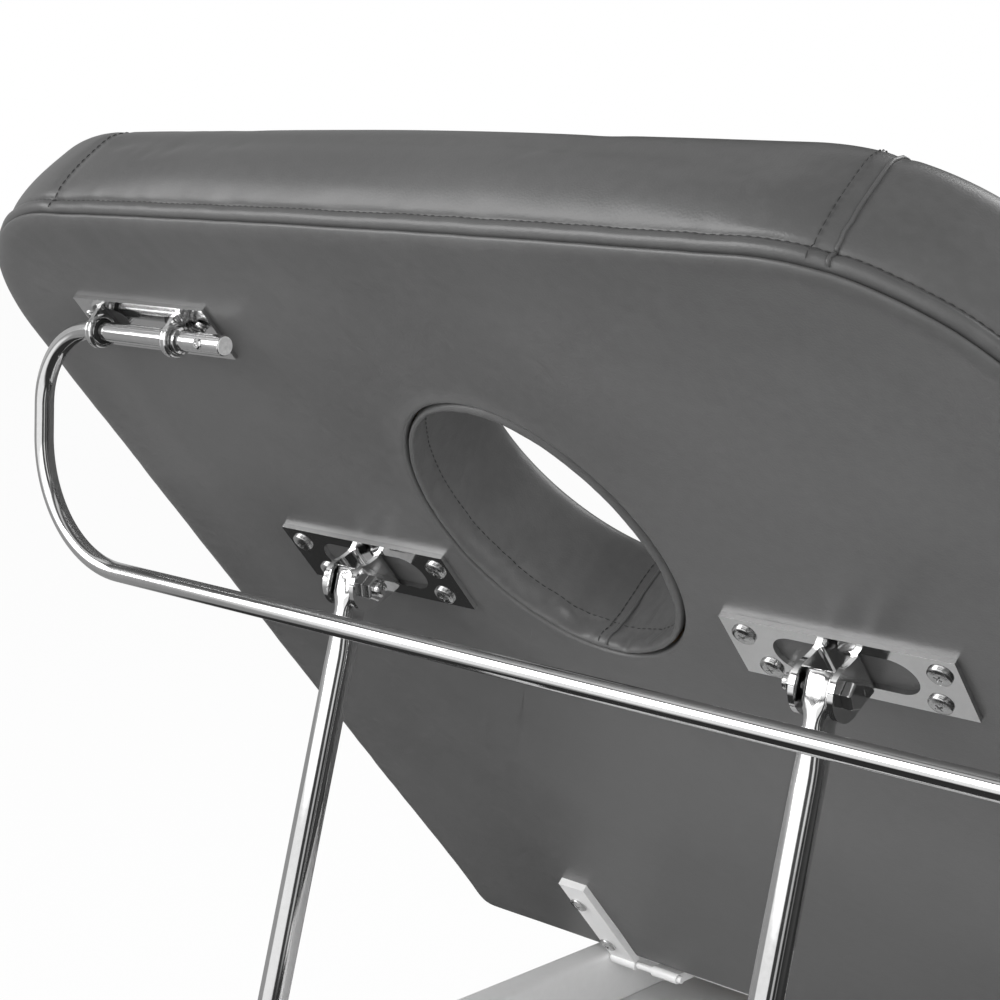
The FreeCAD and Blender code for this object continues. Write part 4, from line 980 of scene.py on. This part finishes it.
def face_hole_lining():
    """Rings through the hole, each pushed in or out by folds, the sagging rim and the flat side."""
    rings = []
    for grow, height, loose in SLEEVE:
        ring = []
        for i in range(SLEEVE_AROUND):
            angle = 2 * math.pi * i / SLEEVE_AROUND
            fold = noise.noise(Vector((math.cos(angle) * 5, math.sin(angle) * 5, height * 0.03)))
            fold += 0.5 * noise.noise(Vector((math.cos(angle) * 17, math.sin(angle) * 17, height * 0.12)))
            sag = max(0.0, math.sin(angle)) ** 2 * max(0.0, 1 - abs(height - 5) / 6) * SLEEVE_SAG
            upper = max(0.0, math.cos(angle - HOLE_FLAT_AT))
            near_back = max(0.0, 1 - max(0.0, height) / SLEEVE_FLAT_REACH)
            crumple = fold * loose * (1 + SLEEVE_CRUMPLE * max(0.0, math.sin(angle)))
            push = (grow + crumple - sag - HOLE_FLAT / MM * upper ** 2 * near_back
                    - SLEEVE_LIP * upper * max(0.0, 1 - abs(height) / SLEEVE_LIP_REACH)
                    * min(1.0, -grow / 4))
            across, along = HOLE_HALF[0] + push * MM, HOLE_HALF[1] + push * MM
            ring.append(Vector((across * math.cos(angle), HOLE_PLACE.y + along * math.sin(angle),
                                height * MM)))
        rings.append(ring)
    piece = ring_mesh("face_hole_sleeve", rings)
    work = bmesh.new()
    work.from_mesh(piece.data)
    inward = sum(face.normal.dot(face.calc_center_median() - HOLE_PLACE) for face in work.faces)
    if inward > 0:
        bmesh.ops.reverse_faces(work, faces=work.faces)
        work.to_mesh(piece.data)
    work.free()
    smoothed(piece)
    vertices = piece.data.vertices
    row = [vertices[SLEEVE_STITCH_RING * SLEEVE_AROUND + i] for i in range(SLEEVE_AROUND)]
    rows = [stitches("face_hole_stitches", [v.co.copy() for v in row], [v.normal.copy() for v in row])]
    for angle, folded in zip(SLEEVE_SEAMS, (False, True)):
        i = round(angle / (2 * math.pi) * SLEEVE_AROUND)
        spots = [vertices[k * SLEEVE_AROUND + i] for k in range(4, len(SLEEVE) - 3)]
        path, facing = [v.co + v.normal * SLEEVE_SEAM_RISE for v in spots], [v.normal.copy() for v in spots]
        if folded:
            rows.append(welt("face_hole_welt", path, facing))
        else:
            rows.append(stitches("face_hole_upright_stitches", path, facing, closed=False))
    piece.data.materials.append(LEATHER)
    settle(piece, BACKREST, "backrest", ["face_hole_lining"])
    for row in rows:
        settle(row, BACKREST, "backrest")


face_hole_lining()

# The lift brackets, their bolts and the rods.
# Each bracket is one chromed plate; two tongues are cut free and bent up into ears, which leaves a
# window behind each. A bolt with a nut holds the rod's end, which is pressed square and dented.
LIFT_ACROSS = 146.5 * MM
LIFT_PIN = (429.8 * MM, 19.5 * MM)
EAR_FAR = 11.5 * MM
THREAD_TURNS = 4
FASTENER_SHARP = math.radians(28)
ROD = {"radius": 8 * MM, "reach": 560 * MM, "ease": 0.5 * MM}
ROD_END = ((-46, 8.0, 8.0), (-40, 8.0, 8.0), (-35, 7.9, 8.1), (-30, 7.7, 8.3), (-25, 7.4, 8.6),
           (-21, 7.3, 8.8), (-17, 7.3, 9.0), (-15, 7.3, 9.0), (-13, 7.3, 9.1), (-11, 7.3, 9.1),
           (-9, 7.4, 9.2), (-6.5, 7.4, 9.2), (-4, 7.4, 9.3), (2, 7.4, 9.3), (7.6, 7.4, 9.3),
           (8.1, 6.9, 8.8), (8.1, 5.6, 7.6), (3.0, 5.5, 7.5))
ROD_PRESSED = (7.4, 9.3)
ROD_SQUARE = (5.0, -14.0, 7.0)
ROD_DENT = ((-30.0, 0.0), (-20.0, 0.06), (-13.0, 0.26), (-7.0, 0.04), (0.0, 0.0), (20.0, 0.0))
CROSS = {"half": 3.4 * MM, "width": 1.25 * MM, "depth": 1.5 * MM, "taper": 0.45}
SCREW_STEPS = ((0.15, 6.0), (0.85, 6.0), (0.45, 5.75), (0.45, 5.0), (0.35, 3.8), (0.2, 2.0))
PLATE_SCREWS = ((50.0, 434.5), (-50.0, 434.5), (43.5, 412.1), (-43.5, 412.1))
ARM_SCREWS = ((183.5, 69.0), (183.5, 18.5))
TOWEL_SCREWS = ((-237.5, 604.0), (-151.5, 604.0))
PLATE_SEAT, ARM_SEAT, TOWEL_SEAT = 3.0, 5.0, 2.5
TOWEL_SCREW_SIZE = 0.5
SCREW_STEEL = finish_material("nickel-plated screws", 0.56, 0.70, 200.0, 0.16, 0.14, metallic=1.0,
                              grain=(900.0, 300.0), depth=0.00002)


def fused(name, pieces):
    """Several pieces made one."""
    bpy.ops.object.select_all(action="DESELECT")
    for piece in pieces:
        piece.select_set(True)
    bpy.context.view_layer.objects.active = pieces[0]
    bpy.ops.object.join()
    pieces[0].name = pieces[0].data.name = name
    return pieces[0]


def again(piece):
    """A copy with a mesh of its own."""
    other = piece.copy()
    other.data = piece.data.copy()
    bpy.context.scene.collection.objects.link(other)
    return other


def carve(piece, cutter):
    """Takes a cutter's shape out of a piece."""
    only(piece)
    bite = piece.modifiers.new("bite", "BOOLEAN")
    bite.operation = "DIFFERENCE"
    bite.solver = "EXACT"
    bite.object = cutter
    bpy.ops.object.modifier_apply(modifier="bite")
    bpy.data.objects.remove(cutter)


def cross_cutter(turn):
    """A blade whose lower end is narrower, for one slot of the cross."""
    bpy.ops.object.select_all(action="DESELECT")
    bpy.ops.mesh.primitive_cube_add(size=1)
    blade = bpy.context.object
    bpy.ops.object.mode_set(mode="EDIT")
    bpy.ops.mesh.select_all(action="SELECT")
    bpy.ops.transform.resize(value=(2 * CROSS["half"], CROSS["width"], 2 * CROSS["depth"]),
                             center_override=(0, 0, 0))
    bpy.ops.transform.rotate(value=turn, orient_axis="Z", center_override=(0, 0, 0))
    bpy.ops.object.mode_set(mode="OBJECT")
    for vertex in blade.data.vertices:
        if vertex.co.z < 0:
            vertex.co.x *= CROSS["taper"]
            vertex.co.y *= CROSS["taper"]
    return blade


def pan_screw():
    """A pan head with a cross in it, its seat at the origin and its top along Z."""
    head = drawn_out("screw", 40, 5.85 * MM,
                     [(rise * MM, half * MM) for rise, half in SCREW_STEPS])
    top = sum(rise for rise, half in SCREW_STEPS) * MM
    for turn in (0.0, math.pi / 2):
        blade = cross_cutter(turn)
        blade.data.transform(Matrix.Translation((0, 0, top + 0.1 * MM)))
        carve(head, blade)
    eased(head, 0.10 * MM, 2)
    return head


def screw_set():
    """All the screws, each turned its own way: a row has its seat's height, a size and its places."""
    model = pan_screw()
    turns = random.Random(7)
    heads = []
    for seat, size, places in (
            (PLATE_SEAT, 1.0, [(side * (LIFT_ACROSS / MM + u), v)
                               for side in (1, -1) for u, v in PLATE_SCREWS]),
            (ARM_SEAT, 1.0, [(side * u, v) for side in (1, -1) for u, v in ARM_SCREWS]),
            (TOWEL_SEAT, TOWEL_SCREW_SIZE, TOWEL_SCREWS)):
        for u, v in places:
            head = again(model)
            head.data.transform(Matrix.Translation((u * MM, -v * MM, -seat * MM))
                                @ Matrix.Rotation(math.pi, 4, "X")
                                @ Matrix.Rotation(turns.uniform(0, math.pi), 4, "Z") @ Matrix.Scale(size, 4))
            heads.append(head)
    bpy.data.objects.remove(model)
    screws = fused("backrest_screw_heads", heads)
    finished(screws, SCREW_STEEL, FASTENER_SHARP)
    settle(screws, BACKREST, "backrest", ["backrest_screws"])


def lift_bolt():
    """Head, shank, nut and threaded end along Z, the ears' middle at the origin."""
    head = drawn_out("bolt", 6, 6.2 * MM, [(0.6 * MM, 7 * MM), (3.9 * MM, 7 * MM), (0.5 * MM, 6.6 * MM)])
    head.data.transform(Matrix.Translation((0, 0, -EAR_FAR - 5 * MM)))
    eased(head, 0.35 * MM)
    nut = drawn_out("nut", 6, 6.6 * MM, [(0.5 * MM, 7 * MM), (4.8 * MM, 7 * MM), (0.7 * MM, 6.2 * MM)])
    nut.data.transform(Matrix.Translation((0, 0, EAR_FAR)))
    eased(nut, 0.35 * MM)
    turns = [(0.45 * MM, 3.95 * MM), (0.2 * MM, 3.95 * MM), (0.35 * MM, 3.5 * MM)] * THREAD_TURNS
    shank = drawn_out("shank", 32, 3.9 * MM, [(2 * EAR_FAR + 5.2 * MM, 3.9 * MM)] + turns
                      + [(0.4 * MM, 3.2 * MM), (0.3 * MM, 1.8 * MM)])
    shank.data.transform(Matrix.Translation((0, 0, -EAR_FAR)))
    return fused("bolt", [head, nut, shank])


def lift_bolts():
    """Both bolts, their heads on the side that faces away from the middle."""
    model = lift_bolt()
    bolts = []
    for side in (1, -1):
        bolt = again(model)
        bolt.data.transform(Matrix.Translation((side * LIFT_ACROSS, -LIFT_PIN[0], -LIFT_PIN[1]))
                            @ Matrix.Rotation(-side * math.pi / 2, 4, "Y")
                            @ Matrix.Rotation(0.4 + side, 4, "Z"))
        bolts.append(bolt)
    bpy.data.objects.remove(model)
    pair = fused("lift_bolt_pair", bolts)
    finished(pair, CHROME, FASTENER_SHARP)
    settle(pair, BACKREST, "backrest", ["lift_bolts"])


def lift_rod(side):
    """A round tube up from its lower end, then pressed: flatter cheeks, dented below the bolt."""
    low = ROD["radius"] - ROD["ease"]
    steps = [(ROD["ease"], ROD["radius"], ROD["radius"])]
    height = -ROD["reach"] + ROD["ease"]
    for level, wide, deep in ROD_END:
        steps.append((level * MM - height, wide * MM, deep * MM))
        height = level * MM
    rod = drawn_out("lift_rod_skin_" + side, 48, low, steps)
    rod.data.transform(Matrix.Translation((0, 0, -ROD["reach"])))
    power, start, length = ROD_SQUARE
    for vertex in rod.data.vertices:
        level = vertex.co.z / MM
        for (low_level, low_dent), (high_level, high_dent) in zip(ROD_DENT, ROD_DENT[1:]):
            if low_level <= level < high_level:
                share = (level - low_level) / (high_level - low_level)
                dent = low_dent + (high_dent - low_dent) * share * share * (3 - 2 * share)
                across = min(1.0, abs(vertex.co.y) / (ROD_PRESSED[1] * MM))
                vertex.co.x *= 1 - dent * (1 - across ** 2) + 0.5 * dent * across ** 4
        squared = min(1.0, max(0.0, (level - start) / length))
        turn = math.atan2(vertex.co.y / ROD_PRESSED[1], vertex.co.x / ROD_PRESSED[0])
        fuller = (abs(math.cos(turn)) ** power + abs(math.sin(turn)) ** power) ** (-1 / power)
        vertex.co.x *= 1 + (fuller - 1) * squared
        vertex.co.y *= 1 + (fuller - 1) * squared
    finished(rod, CHROME, math.radians(60))
    settle(rod, leaning("rod_%s_turn" % side), "rod_" + side, ["lift_rod_" + side])


for side in ("left", "right"):
    eased_copy("lift_bracket_" + side, CHROME, 0.4 * MM, 2)
    lift_rod(side)
lift_bolts()

# The towel or roll bar.
# A chromed bracket made as the lift brackets are, its ears closed into rings. A round bar turns in
# them between set collars, bends down and back, and runs under the backrest to a free end.
# Near-black bushes in the ear rings stand for the shade in the gap between bar and rim: painted shade.
TOWEL_AT = Matrix.Translation(JOINT_AT["towel_swing"])
BAR_RADIUS = 5 * MM
BAR_TIP, BAR_SIDE = -127.3 * MM, -268.7 * MM
TOP_BEND, LOW_BEND = 41.3 * MM, 64 * MM
BAR_DROP, BAR_END = 121.8 * MM, 300 * MM
RINGS_AT = (-221.7 * MM, -163.4 * MM)
EAR_HALF = 1.25 * MM
COLLARS_AT = (-228.7 * MM, -161.65 * MM)
PIN_AT = -141.7 * MM
COLLAR = (6.6 * MM, 5.0 * MM, 5.0 * MM, 1.0 * MM)
# A ring in each ear between bar and rolled rim, not part of the model's parts; its colour below is painted shade.
SHADE_BUSH = (6.1 * MM, 5.05 * MM, 5.4 * MM, 0.3 * MM)
RIM = (7.45 * MM, 1.6 * MM)
# Near-black: painted shade for the gap between bar and ear rim.
GAP_SHADE_BLACK = finish_material("black bush, painted gap shade", 0.01, 0.03, 60.0, 0.5, 0.2)
PIN_STEPS = ((4.3, 1.8), (0.0, 2.5), (0.3, 2.8), (0.6, 2.8), (0.5, 2.1), (0.0, 1.2), (-0.5, 1.0))
SAWN_STEEL = finish_material("sawn bar end", 0.66, 0.88, 420.0, 0.40, 0.20, metallic=0.4,
                             grain=(2600.0, 700.0), depth=0.00010)


def towel_bar():
    """One tube: an open ring drawn along, spun round each bend and drawn on, then its ends filled."""
    bpy.ops.object.select_all(action="DESELECT")
    bpy.ops.mesh.primitive_circle_add(vertices=40, radius=BAR_RADIUS, rotation=(0, math.pi / 2, 0),
                                      location=(BAR_TIP, 0, 0))
    bar = bpy.context.object
    bar.name = bar.data.name = "towel_bar_bent"
    bpy.ops.object.transform_apply(location=True, rotation=True, scale=True)
    bpy.ops.object.mode_set(mode="EDIT")
    bpy.ops.mesh.select_all(action="SELECT")
    draw = bpy.ops.mesh.extrude_region_move
    draw(TRANSFORM_OT_translate={"value": (BAR_SIDE + TOP_BEND - BAR_TIP, 0, 0)})
    bpy.ops.mesh.spin(steps=20, angle=math.pi / 2, center=(BAR_SIDE + TOP_BEND, 0, -TOP_BEND), axis=(0, 1, 0))
    draw(TRANSFORM_OT_translate={"value": (0, 0, -(BAR_DROP - TOP_BEND - LOW_BEND))})
    bpy.ops.mesh.spin(steps=28, angle=math.pi / 2, center=(BAR_SIDE + LOW_BEND, 0, -BAR_DROP + LOW_BEND),
                      axis=(0, 1, 0))
    draw(TRANSFORM_OT_translate={"value": (BAR_END - BAR_SIDE - LOW_BEND, 0, 0)})
    bpy.ops.mesh.select_all(action="SELECT")
    bpy.ops.mesh.remove_doubles(threshold=MERGED_WITHIN)
    bpy.ops.mesh.fill_holes(sides=0)
    bpy.ops.mesh.select_all(action="SELECT")
    bpy.ops.mesh.normals_make_consistent(inside=False)
    bpy.ops.object.mode_set(mode="OBJECT")
    eased(bar, 0.5 * MM, 2, math.radians(50))
    finished(bar, CHROME, math.radians(40))
    settle(bar, TOWEL_AT, "towel_rail", ["towel_bar"])


def turned_ring(name, outer, inner, wide, ease):
    """A ring along Z from the origin, by its two radii, its width and the rounding of its edges."""
    ring = drawn_out(name, 48, outer - ease, [(ease, outer), (wide - 2 * ease, outer), (ease, outer - ease)])
    bore = drawn_out("bore", 48, inner, [(wide + 2 * MM, inner)])
    bore.data.transform(Matrix.Translation((0, 0, -MM)))
    carve(ring, bore)
    return ring


def towel_fittings():
    """Collars, the ears' rolled rims, near-black bushes whose colour paints the shade between bar and rim, the
    button pin and the bar's sawn end.
    """
    along = Matrix.Rotation(math.pi / 2, 4, "Y")
    collars = []
    for place in COLLARS_AT:
        ring = turned_ring("collar", *COLLAR)
        ring.data.transform(Matrix.Translation((place, 0, 0)) @ along)
        collars.append(ring)
    collars = fused("towel_bar_collar_pair", collars)
    finished(collars, CHROME)
    settle(collars, TOWEL_AT, "towel_rail", ["towel_bar_collars"])
    rims = []
    for place in RINGS_AT:
        for face in (-1, 1):
            bpy.ops.object.select_all(action="DESELECT")
            bpy.ops.mesh.primitive_torus_add(major_radius=RIM[0], minor_radius=RIM[1], major_segments=64,
                                             minor_segments=20, rotation=(0, math.pi / 2, 0),
                                             location=(place + face * EAR_HALF, 0, 0))
            bpy.ops.object.transform_apply(location=True, rotation=True, scale=True)
            rims.append(bpy.context.object)
    rims = fused("towel_bracket_rims", rims)
    finished(rims, CHROME)
    settle(rims, TOWEL_AT, "backrest")
    # Rings in the ears' gap, coloured near-black as painted shade between bar and rim.
    shade_bushes = []
    for place in RINGS_AT:
        shade_bush = turned_ring("shade_bush", *SHADE_BUSH)
        shade_bush.data.transform(Matrix.Translation((place - SHADE_BUSH[2] / 2, 0, 0)) @ along)
        shade_bushes.append(shade_bush)
    shade_bushes = fused("towel_bracket_shade_bushes", shade_bushes)
    finished(shade_bushes, GAP_SHADE_BLACK)
    settle(shade_bushes, TOWEL_AT, "backrest")
    pin = drawn_out("towel_bar_button", 32, 1.8 * MM,
                    [(rise * MM, half * MM) for rise, half in PIN_STEPS])
    pin.data.transform(Matrix.Translation((PIN_AT, 0, 0)) @ Matrix.Rotation(math.pi / 2, 4, "X"))
    finished(pin, CHROME)
    settle(pin, TOWEL_AT, "towel_rail", ["towel_bar_pin"])
    face = drawn_out("towel_bar_sawn_end", 40, 4.55 * MM, [(0.4 * MM, 4.5 * MM)])
    face.data.transform(Matrix.Translation((BAR_TIP, 0, 0)) @ along)
    finished(face, SAWN_STEEL)
    settle(face, TOWEL_AT, "towel_rail")


towel_bar()
towel_fittings()
eased_copy("towel_bracket", CHROME, 0.4 * MM, 3)
eased_copy("towel_bar_end_cap", CAP_PLASTIC, 0.5 * MM)
screw_set()
